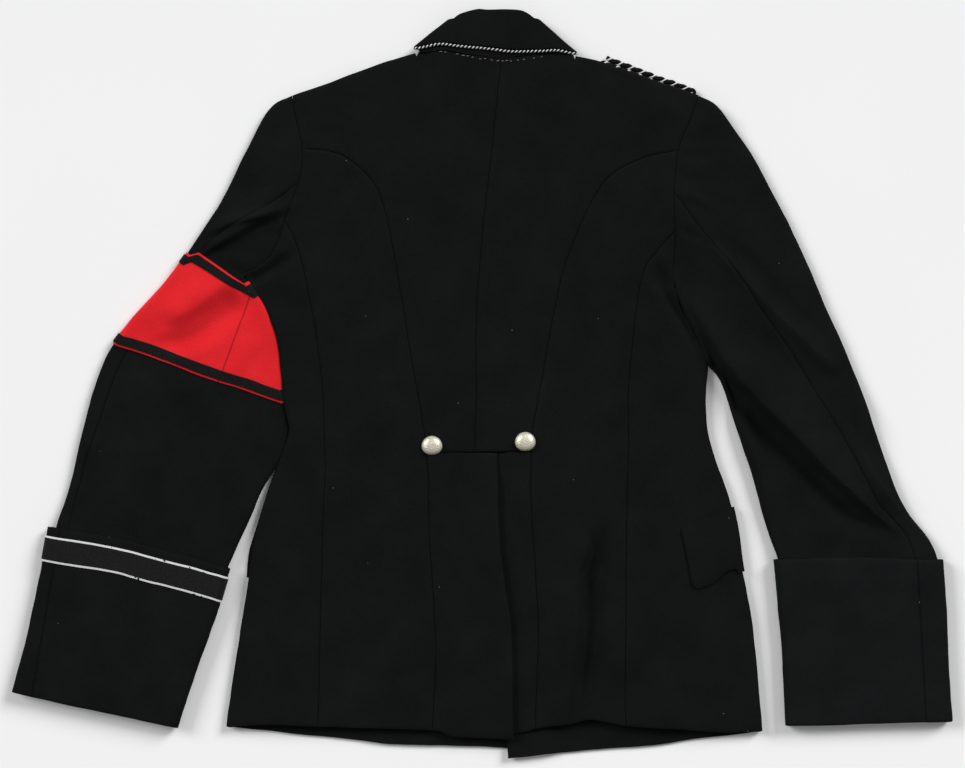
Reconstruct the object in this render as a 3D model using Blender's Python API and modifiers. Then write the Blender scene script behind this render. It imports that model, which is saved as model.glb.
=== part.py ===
"""Military tunic laid flat, face down, with its back upward: cloth panels, cuffs, collar, bands and buttons.

Plan tables are in millimetres, +X to the right and +Y to the collar as seen from above. The surface that the
tunic lies on is z = 0. Every panel is a surface worked out between its seams, with a wall inside it.
"""
import math

import bpy
import numpy as np

MM = 0.001

# Driving sizes, in millimetres
WALL = 2.4
SEAM_GAP = 0.4
ROLL = 4.2
EDGE_TOP = 8.4
MIDDLE_TOP = 11.0
CROWN_REACH = 60.0
SIDE_CLEAR = {"left": 2.6, "right": 1.6}
ROLL_STEPS = 4
ARMHOLE_STEPS = (3, 2, 2, 3)
BODY_STEPS = (10, 7)
SHOULDER_SHARE = 0.75
FOLD_EDGE = 14.0
FRONT_OVER = 3.1
OVER_SPREAD = 9.0
OVER_FROM = 5.0
OVER_FADE = 14.0
CLOSING_COLUMNS = {"left": (66.0, 38.0), "right": (24.0, 7.0)}
VENT_UNDER = 2.8
UNDERLAP = 18.0
UNDERLAP_FROM = 3.0
BAND_WALL = 1.2
TAPE_WALL = 0.6
TAPE_WIDTH = 0.085
TAPE_MARGIN = 0.02
BAND_INSET = 0.08
LAYER_GAP = 0.35
CUFF_TOP = 13.8
CUFF_ROLL = 5.4
CUFF_FOLD_SHARE = 0.6
FLAP_WALL = 1.8
FLAP_CLEAR = 0.65
FLAP_UNDER = (-92.0, 6.0)
FALL_TOP = 13.8
STAND_TOP = 10.9
PIPING = 1.4
PIPING_CLEAR = 1.35
BUTTON_RADIUS = 10.6
BUTTON_HEIGHT = 6.0
FRONT_BUTTON_HEIGHT = 2.2
CORD_RADIUS = 2.5
LIP = 2.8
RIBBON_WALL = 0.8
CUFF_BOW = {"left": (0.8, 4.0), "right": (0.0, 2.0)}
CUFF_SHARES = {"left": (0, 0.05, 0.2, 0.52, 0.76, 1), "right": (0, 0.25, 0.5, 0.75, 1)}
CUFF_STEPS = 40
CUFF_COLUMNS = 9
COLLAR_COLUMNS = 8
COLLAR_FOLD = 5.2
COLLAR_SLIT = 0.6
FALL_SHARES = (0, 0.33, 0.67, 1)
STAND_CLEAR = 0.12
STAND_SHARES = (0.03, 0.35, 0.67, 0.93)
CORD_RUNS = 4
CORD_PITCH = 5.5
CORD_SHOWN = 3.3

# Seams and edges in plan: columns x, y
LINES = {
    "shoulder_left": [(-197, 297), (-170, 307), (-114, 328), (-69, 342)],
    "shoulder_right": [(223, 297), (167, 317), (118, 333), (97, 338)],
    "armhole_left": [(-197, 297), (-191, 270), (-186, 243), (-190, 208), (-204, 170), (-215, 135), (-228, 106)],
    "armhole_right": [(223, 297), (213, 270), (202, 241), (197, 197), (198, 157), (197, 128), (194, 100)],
    "neck_back": [(-69, 342), (-44, 344), (-13, 339), (20, 336), (51, 339), (75, 341), (97, 338)],
    "neck_front": [(-69, 342), (-54, 318), (-21, 296), (14, 288), (57, 295), (84, 314), (97, 338)],
    "centre_back": [(20, 336), (12, 262), (5, 200), (-3, 128), (-6, 66), (-8, -70)],
    "princess_left": [(-186, 243), (-150, 237), (-122, 218), (-103, 187), (-88, 116), (-74, 30), (-58, -70),
                      (-54, -163), (-48, -265), (-52, -357)],
    "princess_right": [(202, 241), (168, 234), (134, 216), (113, 187), (85, 122), (68, 43), (50, -70),
                       (53, -163), (57, -260), (55, -355)],
    "side_left": [(-204, 170), (-191, 143), (-180, 98), (-167, 15), (-162, -70), (-166, -175), (-168, -302),
                  (-170, -353)],
    "side_right": [(198, 157), (179, 136), (163, 104), (151, 3), (150, -70), (148, -175), (147, -289),
                   (148, -352)],
    "edge_left": [(-232, 105), (-229, 92), (-213, 52), (-205, -20), (-199, -47), (-210, -78), (-232, -144),
                  (-243, -210), (-254, -276), (-265, -353)],
    "edge_right": [(197, 98), (214, 66), (226, 42), (233, 22), (231, -5), (231, -29), (236, -62), (257, -128),
                   (269, -194), (280, -260), (289, -358)],
    "vent": [(15, -71), (18, -163), (30, -264), (32, -366)],
    "hem_back_left": [(-265, -353), (-222, -351), (-170, -353), (-125, -355), (-52, -357), (-28, -364), (32, -366)],
    "hem_back_right": [(32, -358), (55, -355), (89, -351), (113, -346), (148, -352), (188, -355), (239, -359),
                       (289, -358)],
    "hem_front_left": [(-265, -353), (-178, -363), (-95, -372), (8, -375), (62, -377)],
    "hem_front_right": [(26, -386), (111, -379), (193, -371), (289, -358)],
    "front_edge_left": [(32, 290), (62, -377)],
    "front_edge_right": [(-4, 289), (26, -386)],
    "sleeve_outer_left": [(-197, 297), (-219, 285), (-243, 243), (-268, 192), (-304, 136), (-332, 99), (-381, 42),
                          (-403, -12), (-427, -109), (-439, -146), (-457, -229), (-478, -309)],
    "sleeve_inner_left": [(-228, -111), (-242, -144), (-264, -193), (-280, -239), (-299, -293), (-319, -347)],
    "sleeve_outer_right": [(223, 297), (243, 286), (266, 255), (292, 212), (332, 132), (351, 87), (391, -6),
                           (422, -97), (440, -134), (469, -180), (473, -264), (475, -341)],
    "sleeve_inner_right": [(246, 2), (262, -45), (275, -86), (292, -144), (305, -182), (308, -216), (313, -278),
                           (317, -344)],
    "hind_left": [(-190, 208), (-211, 187), (-251, 158), (-288, 126), (-366, 36), (-396, -42), (-411, -87),
                  (-427, -149), (-466, -312)],
    "hind_right": [(197, 197), (225, 159), (261, 116), (316, 34), (368, -48), (403, -116), (446, -181),
                   (452, -341)],
    "cuff_outer_left": [(-448, -147), (-456, -194), (-466, -243), (-485, -317)],
    "cuff_inner_left": [(-260, -191), (-275, -239), (-294, -293), (-314, -355)],
    "cuff_outer_right": [(475, -181), (478, -226), (480, -278), (485, -348)],
    "cuff_inner_right": [(300, -181), (303, -216), (308, -278), (312, -352)],
    "collar_roll_back": [(-37, 375), (-28, 380), (-8, 384), (6, 383), (38, 383), (51, 380), (60, 375)],
    "collar_edge_back": [(-71, 348), (-47, 352), (-22, 350), (10, 347), (30, 345), (62, 345), (83, 345), (99, 342)],
    "collar_roll_front": [(-37, 375), (-20, 345), (14, 322), (44, 345), (60, 375)],
    "collar_edge_front": [(-71, 348), (-52, 327), (-21, 306), (14, 299), (57, 305), (82, 320), (99, 342)],
    "flap_right_rear": [(205, -150), (211, -178), (216, -207)],
    "flap_right_top": [(205, -150), (222, -141), (239, -136), (257, -128)],
    "flap_right_hem": [(216, -207), (223, -211), (237, -205), (252, -194), (269, -188)],
    "flap_left_rear": [(-231, -140), (-241, -172), (-244, -200)],
    "flap_left_front": [(-112, -144), (-112, -172), (-114, -202)],
    "shoulder_cord": [(128, 334), (215, 301)],
}

# Which point of a back hem each seam meets
HEM_STOPS = {"left": {"edge": 0, "side": 2, "princess": 4, "vent": 6},
             "right": {"edge": 7, "side": 4, "princess": 1, "vent": 0}}

# Raised and sunken folds of the upper cloth: line of the fold, height, reach to its left and to its right
FOLDS = {
    "skirt_trough": {"line": [(116, -135), (104, -215), (92, -330)], "height": -2.2, "left": 9, "right": 22},
    "skirt_ridge": {"line": [(177, -280), (191, -316), (191, -370)], "height": 2.0, "left": 20, "right": 26},
    "hip_ridge_left": {"line": [(-150, -120), (-120, -230), (-110, -360)], "height": 1.4, "left": 30, "right": 34},
    "arm_ridge_right": {"line": [(204, 100), (240, 40), (294, -28), (356, -93), (430, -158)], "height": 4.2,
                        "left": 30, "right": 12},
    "arm_fold_right": {"line": [(228, 152), (287, 93), (349, 29), (372, 10)], "height": 2.4, "left": 18,
                       "right": 14},
    "arm_bulge_right": {"line": [(394, -15), (391, -70), (433, -135)], "height": 2.6, "left": 22, "right": 20},
    "arm_ridge_left": {"line": [(-196, 210), (-245, 168), (-285, 140)], "height": 3.0, "left": 15, "right": 26},
    "arm_trough_left": {"line": [(-246, 92), (-300, 70), (-355, 44)], "height": -1.3, "left": 20, "right": 20},
    "arm_swell_left": {"line": [(-330, 20), (-350, -110)], "height": 2.0, "left": 50, "right": 50},
}

# What lies under the cloth and lifts it: ends of its line, half its width, fading reach, lift
LIFTS = {
    "flap_left": {"line": [(-240, -172), (-130, -172)], "half": 52, "fade": 30, "lift": 2.5},
    "flap_right": {"line": [(270, -165), (175, -165)], "half": 52, "fade": 30, "lift": 2.5},
    "shoulder_board": {"line": [(122, 332), (222, 296)], "half": 18, "fade": 34, "lift": 5.8},
    "neck": {"line": [(-60, 315), (-21, 292), (14, 285), (57, 291), (88, 310)], "half": 8, "fade": 40,
             "lift": 2.9},
    "buttoning": {"line": [(15, 300), (32, -19)], "half": 19, "fade": 30, "lift": 2.6},
    "sleeve_below": {"line": [(-213, 52), (-200, -40)], "half": 0, "fade": 40, "lift": 4.0},
}
FRONT_BUTTONS = [(17, 262), (21, 165), (25, 68), (29, -18)]
BACK_BUTTONS = [(-52, -64), (44, -60)]

COLOURS = {
    "wool": ((0.012, 0.013, 0.0125), 0.95, 0.0),
    "red_wool": ((0.60, 0.018, 0.024), 0.95, 0.0),
    "tape": ((0.014, 0.014, 0.014), 0.8, 0.0),
    "ribbon": ((0.015, 0.015, 0.015), 0.7, 0.0),
    "cord": ((0.55, 0.55, 0.53), 0.6, 0.0),
    "button": ((0.62, 0.60, 0.50), 0.35, 0.9),
}


def smooth(value):
    """Ease from 0 to 1."""
    t = np.clip(value, 0.0, 1.0)
    return t * t * (3.0 - 2.0 * t)


def spline(points, dense=16):
    """A Catmull-Rom line through the points, and the index of each point on it."""
    p = np.array(points, float)
    p = np.vstack([2 * p[0] - p[1], p, 2 * p[-1] - p[-2]])
    t = np.linspace(0, 1, dense, endpoint=False)[:, None]
    pieces = []
    for a, b, c, d in zip(p[:-3], p[1:-2], p[2:-1], p[3:]):
        pieces.append(0.5 * (2 * b + (c - a) * t + (2 * a - 5 * b + 4 * c - d) * t * t
                             + (3 * b - a - 3 * c + d) * t ** 3))
    return np.vstack(pieces + [p[-2:-1]]), [i * dense for i in range(len(points))]


def resample(line, steps):
    """The same line with equal steps."""
    length = np.concatenate([[0], np.cumsum(np.linalg.norm(np.diff(line, axis=0), axis=1))])
    at = np.linspace(0, length[-1], steps + 1)
    return np.column_stack([np.interp(at, length, line[:, k]) for k in range(line.shape[1])])


def stretch(points, stops, steps):
    """A table line cut at some of its points, with equal steps between each two of them."""
    line, index = spline(points)
    pieces = [resample(line[index[a]:index[b] + 1], n) for a, b, n in zip(stops[:-1], stops[1:], steps)]
    return np.vstack([pieces[0]] + [piece[1:] for piece in pieces[1:]])


def line_of(name, stops, steps):
    return stretch(LINES[name], stops, steps)


def side_normals(line, toward):
    """Unit plan normals of a line, on the side away from a point."""
    d = np.gradient(line, axis=0)
    n = np.column_stack([d[:, 1], -d[:, 0]])
    n /= np.linalg.norm(n, axis=1)[:, None]
    middle = len(line) // 2
    if np.dot(n[middle], np.asarray(toward) - line[middle]) > 0:
        n = -n
    return n


def distance(points, line):
    """Plan distance from each point to a line, its share along the line, and the side it lies on."""
    best = np.full(points.shape[:-1], 1e9)
    share = np.zeros(points.shape[:-1])
    side = np.ones(points.shape[:-1])
    line = np.asarray(line, float)
    count = len(line) - 1
    for k in range(count):
        a, d = line[k], line[k + 1] - line[k]
        t = np.clip(((points - a) @ d) / (d @ d), 0, 1)
        gap = points - a - t[..., None] * d
        far = np.linalg.norm(gap, axis=-1)
        near = far < best
        best = np.where(near, far, best)
        share = np.where(near, (k + t) / count, share)
        side = np.where(near, np.sign(d[0] * gap[..., 1] - d[1] * gap[..., 0]), side)
    return best, share, side


def lift_of(points, name):
    zone = LIFTS[name]
    far, _, _ = distance(points, zone["line"])
    return zone["lift"] * (1 - smooth((far - zone["half"]) / zone["fade"]))


SILHOUETTE = [spline(LINES[name], 6)[0] for name in
              ("shoulder_left", "shoulder_right", "edge_left", "edge_right", "sleeve_outer_left",
               "sleeve_outer_right", "sleeve_inner_left", "sleeve_inner_right")]
FOLD_LINES = {name: spline(fold["line"], 8)[0] for name, fold in FOLDS.items()}


def folds_at(points):
    height = np.zeros(points.shape[:-1])
    for name, fold in FOLDS.items():
        far, share, side = distance(points, FOLD_LINES[name])
        reach = np.where(side > 0, fold["left"], fold["right"])
        ends = smooth(share / 0.2) * smooth((1 - share) / 0.2)
        height += fold["height"] * ends * (1 - smooth(far / reach))
    return height


def top_at(points):
    """Height of the upper cloth's outer face: low at the rolled edges, higher inside, with its folds."""
    far = np.min([distance(points, line)[0] for line in SILHOUETTE], axis=0)
    crown = EDGE_TOP + (MIDDLE_TOP - EDGE_TOP) * smooth(far / CROWN_REACH)
    crown = crown + SHOULDER_SHARE * lift_of(points, "shoulder_board")
    return crown + folds_at(points) * smooth(far / FOLD_EDGE)


def across_at(line, y):
    """Where a line that runs down the part stands across it, at each y."""
    return np.interp(y, line[::-1, 1], line[::-1, 0])


def under_left(points):
    """Height of the left front's outer face, over what lies between it and the floor."""
    names = ("flap_left", "neck", "buttoning")
    return np.max([lift_of(points, name) for name in names], axis=0)


def under_right(points):
    """The right front, which also rises over the left front's edge where the two overlap."""
    names = ("flap_right", "shoulder_board", "neck")
    lift = np.max([lift_of(points, name) for name in names], axis=0)
    past = points[..., 0] - across_at(np.array(LINES["front_edge_left"], float), points[..., 1])
    over = 1 - smooth((past - OVER_FROM) / OVER_FADE)
    below = np.maximum(under_left(points), under_left(points + (0, OVER_SPREAD)))
    return np.maximum(lift, np.where(over > 0, (below + FRONT_OVER) * over, 0))


def patch(top, bottom, first, last):
    """Plan points between four sides: rows from top to bottom, columns from first to last."""
    rows, columns = len(first), len(top)
    u = np.linspace(0, 1, columns)[None, :, None]
    v = np.linspace(0, 1, rows)[:, None, None]
    across = (1 - u) * first[:, None, :] + u * last[:, None, :]
    down = (1 - v) * top[None, :, :] + v * bottom[None, :, :]
    corners = ((1 - u) * (1 - v) * top[0] + u * (1 - v) * top[-1]
               + (1 - u) * v * bottom[0] + u * v * bottom[-1])
    return across + down - corners


def drawn_in(grid, sides, gap=SEAM_GAP / 2):
    """Move the named sides of a plan grid in by half a seam's gap."""
    views = {"top": (grid[0], grid[1]), "bottom": (grid[-1], grid[-2]),
             "first": (grid[:, 0], grid[:, 1]), "last": (grid[:, -1], grid[:, -2])}
    moves = []
    for side in sides:
        rim, inside = views[side]
        d = np.gradient(rim, axis=0)
        n = np.column_stack([-d[:, 1], d[:, 0]])
        n /= np.linalg.norm(n, axis=1)[:, None]
        n *= np.sign(np.sum(n * (inside - rim), axis=1))[:, None]
        moves.append((rim, n * gap))
    for rim, move in moves:
        rim += move
    return grid


def unit(vectors):
    return vectors / np.linalg.norm(vectors, axis=-1)[..., None]


def raised(grid, height, face=1):
    """Points at their height with the outward normals of that face, +1 for the upper side and -1 for the under."""
    reach = 0.5
    z = height(grid)
    slope_x = (height(grid + (reach, 0)) - height(grid - (reach, 0))) / (2 * reach)
    slope_y = (height(grid + (0, reach)) - height(grid - (0, reach))) / (2 * reach)
    normal = unit(np.stack([-slope_x, -slope_y, np.ones_like(z)], axis=-1)) * face
    return np.concatenate([grid, z[..., None], normal], axis=-1)


def level(grid, z, face=-1):
    """Points of a flat face at the given heights."""
    heights = np.broadcast_to(z, grid.shape[:-1])[..., None]
    normal = np.zeros(grid.shape[:-1] + (3,))
    normal[..., 2] = face
    return np.concatenate([grid, heights, normal], axis=-1)


def roll_from(upper, lower_z, normals, reach):
    """A rolled edge, from just past the upper rim down to the lower one, one row for each step."""
    rows = []
    middle = (upper[:, 2] + lower_z) / 2
    tall = (upper[:, 2] - lower_z) / 2
    for k in range(1, ROLL_STEPS + 1):
        angle = math.pi * k / ROLL_STEPS
        plan = upper[:, :2] + normals * (reach * math.sin(angle))
        out = np.column_stack([normals * (math.sin(angle) * tall)[:, None],
                               np.full(len(upper), math.cos(angle) * reach)])
        rows.append(np.column_stack([plan, middle + tall * math.cos(angle), unit(out)]))
    return np.array(rows)


class Sheet:
    """An open surface put together from blocks of points that share their edges."""

    def __init__(self):
        self.keys = {}
        self.points = []
        self.quads = set()

    def block(self, row, column, grid):
        for i, line in enumerate(grid):
            for j, point in enumerate(line):
                key = (row + i, column + j)
                if key not in self.keys:
                    self.keys[key] = len(self.points)
                    self.points.append(point)
        for i in range(len(grid) - 1):
            for j in range(len(grid[0]) - 1):
                self.quads.add((row + i, column + j))

    def faces(self, around=None):
        """Quads by point number; around is the column that joins back to column 0."""
        out = []
        for i, j in sorted(self.quads):
            after = 0 if around is not None and j + 1 == around else j + 1
            corners = ((i, j), (i, after), (i + 1, after), (i + 1, j))
            out.append([self.keys[c] for c in corners])
        return out


def material(slot):
    found = bpy.data.materials.get(slot)
    if found:
        return found
    colour, roughness, metallic = COLOURS[slot]
    found = bpy.data.materials.new(slot)
    found.use_nodes = True
    shader = found.node_tree.nodes["Principled BSDF"]
    shader.inputs["Base Color"].default_value = (*colour, 1)
    shader.inputs["Roughness"].default_value = roughness
    shader.inputs["Metallic"].default_value = metallic
    found.diffuse_color = (*colour, 1)
    return found


def put(name, mesh, slot):
    piece = bpy.data.objects.new(name, mesh)
    mesh.materials.append(material(slot))
    tunic.objects.link(piece)
    return piece


def rim_edges(faces):
    """The edges that only one face has, in that face's direction."""
    edges = {(face[k], face[(k + 1) % len(face)]) for face in faces for k in range(len(face))}
    return [(a, b) for a, b in edges if (b, a) not in edges]


def halves(face, points):
    """Two triangles of a quad, cut along its shorter diagonal, so that layers on each other are cut alike."""
    a, b, c, d = face
    first, second = points[c] - points[a], points[d] - points[b]
    gain = np.linalg.norm(first) - np.linalg.norm(second)
    if abs(gain) < 1.0:
        gain = second[0] * second[1] - first[0] * first[1]
    if gain < 0:
        return [[a, b, c], [a, c, d]]
    return [[a, b, d], [b, c, d]]


def sheet_piece(name, sheet, slot="wool", wall=WALL, around=None):
    """A named piece: the sheet as its outer face, the same sheet inside the wall, and the cut edges between."""
    rows = np.array(sheet.points)
    faces = sheet.faces(around)
    corners = rows[np.array(faces[len(faces) // 2])]
    facing = np.cross(corners[1, :3] - corners[0, :3], corners[2, :3] - corners[0, :3])
    if np.dot(facing, corners[:, 3:].sum(axis=0)) < 0:
        faces = [face[::-1] for face in faces]
    count = len(rows)
    outer = rows[:, :3]
    inner = outer - rows[:, 3:] * wall
    cut = [[b, a, a + count, b + count] for a, b in sorted(rim_edges(faces))]
    faces = [part for face in faces for part in halves(face, outer)]
    inside = [[k + count for k in face[::-1]] for face in faces]
    mesh = bpy.data.meshes.new(name)
    mesh.from_pydata([tuple(p * MM) for p in np.vstack([outer, inner])], [], faces + inside + cut)
    mesh.update()
    mesh.shade_smooth()
    mesh.set_sharp_from_angle(angle=math.radians(50))
    return put(name, mesh, slot)


def beside(name, count, apart):
    """The first points of a body edge, moved out: where a sleeve lies against the body."""
    edge = np.array(LINES[name], float)
    return edge[:count] + side_normals(edge, (0, 0))[:count] * apart


def armhole(side):
    return line_of("armhole_" + side, (0, 2, 3, 4, 6), ARMHOLE_STEPS)


def tip_normal(side):
    """Plan normal at the shoulder's tip, shared by the shoulder and the sleeve."""
    shoulder = side_normals(line_of("shoulder_" + side, (0, 3), (5,)), (0, 0))[0]
    sleeve = side_normals(line_of("sleeve_outer_" + side, (0, 9), (11,)), (0, 0))[0]
    return (shoulder + sleeve) / np.linalg.norm(shoulder + sleeve)


def shoulder_line(side, steps):
    line = line_of("shoulder_" + side, (0, 3), (steps,))
    normals = side_normals(line, (0, 0))
    normals[0] = tip_normal(side)
    return line, normals


def neck_part(name, side, steps):
    """Half of a neck line, from the shoulder in to the middle."""
    stops = (0, 3) if side == "left" else (3, 6)
    line = line_of(name, stops, (steps,))
    return line if side == "left" else line[::-1]


def make_back(side):
    """Back panel from shoulder and neck to the waist, with its shoulder rolled over to the front."""
    steps = 5
    shoulder, normals = shoulder_line(side, steps)
    neck = neck_part("neck_back", side, 3)
    rim = shoulder - normals * ROLL
    top = np.vstack([rim, neck[1:]])
    hole = armhole(side)[:ARMHOLE_STEPS[0] + 1].copy()
    hole[0] = rim[0]
    princess = line_of("princess_" + side, (0, 6), (BODY_STEPS[0],))
    outer = np.vstack([hole, princess[1:]])
    centre = line_of("centre_back", (0, 5), (len(outer) - 1,))
    waist = np.linspace(princess[-1], centre[-1], len(top))
    upper = raised(drawn_in(patch(top, waist, outer, centre), ("first", "last", "bottom")), top_at)
    edge = upper[0, :steps + 1]
    folded = roll_from(edge, FRONT_UNDER[side](edge[:, :2]), normals, ROLL)
    sheet = Sheet()
    sheet.block(0, 0, upper)
    sheet.block(-ROLL_STEPS, 0, np.vstack([folded[::-1], edge[None]]))
    sheet_piece("back_" + side, sheet)


def make_side_back(side):
    """Side back panel from the armhole to the hem, between the curved seam and the side seam."""
    first = ARMHOLE_STEPS[0]
    top = armhole(side)[first:first + ARMHOLE_STEPS[1] + ARMHOLE_STEPS[2] + 1]
    seam = line_of("princess_" + side, (0, 6, 9), BODY_STEPS)
    other = line_of("side_" + side, (0, 4, 7), BODY_STEPS)
    hem = hem_back(side, "princess", "side", len(top) - 1)
    plan = drawn_in(patch(top, hem, seam, other), ("top", "first", "last"))
    sheet = Sheet()
    sheet.block(0, 0, raised(plan, top_at))
    sheet_piece("side_back_" + side, sheet)


def hem_back(side, start, end, steps):
    """The back hem between two named seams."""
    a, b = HEM_STOPS[side][start], HEM_STOPS[side][end]
    line = line_of("hem_back_" + side, (min(a, b), max(a, b)), (steps,))
    return line if a < b else line[::-1]


def make_skirt(side):
    """Skirt panel between the pleat seam and the vent; the left one laps over the right one."""
    seam = line_of("princess_" + side, (6, 9), (BODY_STEPS[1],))
    vent = line_of("vent", (0, 3), (BODY_STEPS[1],))
    height = top_at
    if side == "left":
        hem = hem_back("left", "princess", "vent", 4)
    else:
        lap = vent.copy()
        vent = vent - np.array((UNDERLAP, 0))
        hem = np.linspace(seam[-1], vent[-1], 5)

        def height(points):
            past = points[..., 0] - across_at(lap, points[..., 1])
            return top_at(points) - VENT_UNDER * (1 - smooth((past - UNDERLAP_FROM) / OVER_FADE))
    top = np.linspace(seam[0], vent[0], 5)
    plan = drawn_in(patch(top, hem, seam, vent), ("top", "first"))
    sheet = Sheet()
    sheet.block(0, 0, raised(plan, height))
    sheet_piece("skirt_" + side, sheet)


def edge_lift(side, points):
    """The left edge lies on the sleeve, which lifts it; the right one does not."""
    return lift_of(points, "sleeve_below") if side == "left" else np.zeros(points.shape[:-1])


def closing_lines(side, rows):
    """Columns of a front near its closing edge: foot of the rise, top of the rise, and the edge itself."""
    edge = line_of("front_edge_" + side, (0, 1), (rows,))
    foot, rise = CLOSING_COLUMNS[side]
    if side == "left":
        return edge - (foot, 0), edge - (rise, 0), edge
    lap = np.column_stack([across_at(line_of("front_edge_left", (0, 1), (rows,)), edge[:, 1]), edge[:, 1]])
    return lap + (foot, 0), lap + (rise, 0), edge


def make_front(side):
    """Front: from the side seam round the edge to the closing, then up to the armhole, shoulder and neck."""
    under = FRONT_UNDER[side]
    rows = sum(BODY_STEPS)
    hole = armhole(side)
    high_rows = len(hole) - 1
    stops = (0, 4, 9) if side == "left" else (0, 6, 10)
    edge = line_of("edge_" + side, stops, BODY_STEPS)
    normals = side_normals(edge, (0, 0))
    rim = edge - normals * ROLL
    seam = line_of("side_" + side, (0, 4, 7), BODY_STEPS)
    strip_top = hole[sum(ARMHOLE_STEPS[:3]):].copy()
    strip_top[-1] = rim[0]
    hem = hem_back(side, "side", "edge", len(strip_top) - 1)
    hem[-1] = rim[-1]
    strip = drawn_in(patch(strip_top, hem, seam, rim), ("top", "first"))
    upper = raised(strip, lambda p: top_at(p) + edge_lift(side, p))
    foot, rise, closing = closing_lines(side, rows + high_rows)
    bottom = np.array(LINES["hem_front_" + side], float)
    order = np.argsort(bottom[:, 0])
    for line in (foot, rise, closing):
        line[high_rows:, 1] = np.linspace(line[high_rows, 1],
                                          np.interp(line[-1, 0], bottom[order, 0], bottom[order, 1]), rows + 1)
    hem = np.linspace(rim[-1], foot[-1], 5)
    hem[:, 1] = np.interp(hem[:, 0], bottom[order, 0], bottom[order, 1])
    hem[0] = rim[-1]
    across = np.linspace(rim[0], foot[high_rows], 5)
    low = np.concatenate([patch(across, hem, rim, foot[high_rows:]),
                          rise[high_rows:, None], closing[high_rows:, None]], axis=1)
    shoulder, shoulder_n = shoulder_line(side, 2)
    shoulder = shoulder - shoulder_n * (ROLL + 1.0)
    neck = neck_part("neck_front", side, 12)
    high_hole = hole.copy()
    high_hole[0] = shoulder[0]
    high_hole[-1] = rim[0]
    for line in (foot, rise):
        line[:high_rows + 1] = np.linspace(neck_at(neck, line[0, 0]), line[high_rows], high_rows + 1)
    halfway = neck_at(neck, 0.6 * shoulder[-1, 0] + 0.4 * foot[0, 0])
    high_top = np.vstack([shoulder, halfway, foot[0]])
    high = np.concatenate([patch(high_top, across, high_hole, foot[:high_rows + 1]),
                           rise[:high_rows + 1, None], closing[:high_rows + 1, None]], axis=1)
    high = drawn_in(high, ("first",))
    high[-1] = low[0]

    def height(points):
        return under(points) + edge_lift(side, points)
    lower = raised(low, height, -1)
    roll = roll_from(upper[:, -1], lower[:, 0, 2], normals, ROLL)
    roll[-1] = lower[:, 0]
    last = len(strip_top) - 1
    sheet = Sheet()
    sheet.block(0, 0, upper)
    sheet.block(0, last, np.concatenate([upper[:, -1][None], roll]).transpose(1, 0, 2))
    sheet.block(0, last + ROLL_STEPS, lower)
    sheet.block(-high_rows, last + ROLL_STEPS, raised(high, height, -1))
    sheet_piece("front_" + side, sheet)


def neck_at(neck, x):
    """The point of the neck line at a place across."""
    order = np.argsort(neck[:, 0])
    return np.array((x, np.interp(x, neck[order, 0], neck[order, 1])))


def sleeve_lines(side):
    """Outer edge, inner edge and hind seam of a sleeve, cut where its blocks meet."""
    if side == "left":
        inner = np.vstack([beside("edge_left", 6, SIDE_CLEAR[side]), LINES["sleeve_inner_left"]])
        outer_stops, inner_stops, hind_stops = (0, 4, 6, 9, 11), (0, 1, 3, 8, 11), (0, 3, 4, 7, 8)
        steps = (4, 4, 5, 3)
    else:
        inner = np.vstack([beside("edge_right", 4, SIDE_CLEAR[side]), LINES["sleeve_inner_right"]])
        outer_stops, inner_stops, hind_stops = (0, 9, 11), (0, 8, 11), (0, 6, 7)
        steps = (11, 3)
    outer = line_of("sleeve_outer_" + side, outer_stops, steps)
    hind = line_of("hind_" + side, hind_stops, steps)
    return outer, stretch(inner, inner_stops, steps), hind, steps


def sleeve_lift(side, steps):
    """How far each row of a sleeve's underside is held up, by the armband and by the cuff."""
    cuff = WALL + 1.5 * LAYER_GAP
    if side == "left":
        band = BAND_WALL + TAPE_WALL + 2 * LAYER_GAP
        cuff += RIBBON_WALL + LAYER_GAP
        lift = [0] * (steps[0] - 1) + [band] * (steps[1] + 2) + [0] * (steps[2] - 1) + [cuff] * (steps[3] + 1)
    else:
        lift = [0] * steps[0] + [cuff] * (steps[1] + 1)
    return np.array(lift, float)


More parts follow.
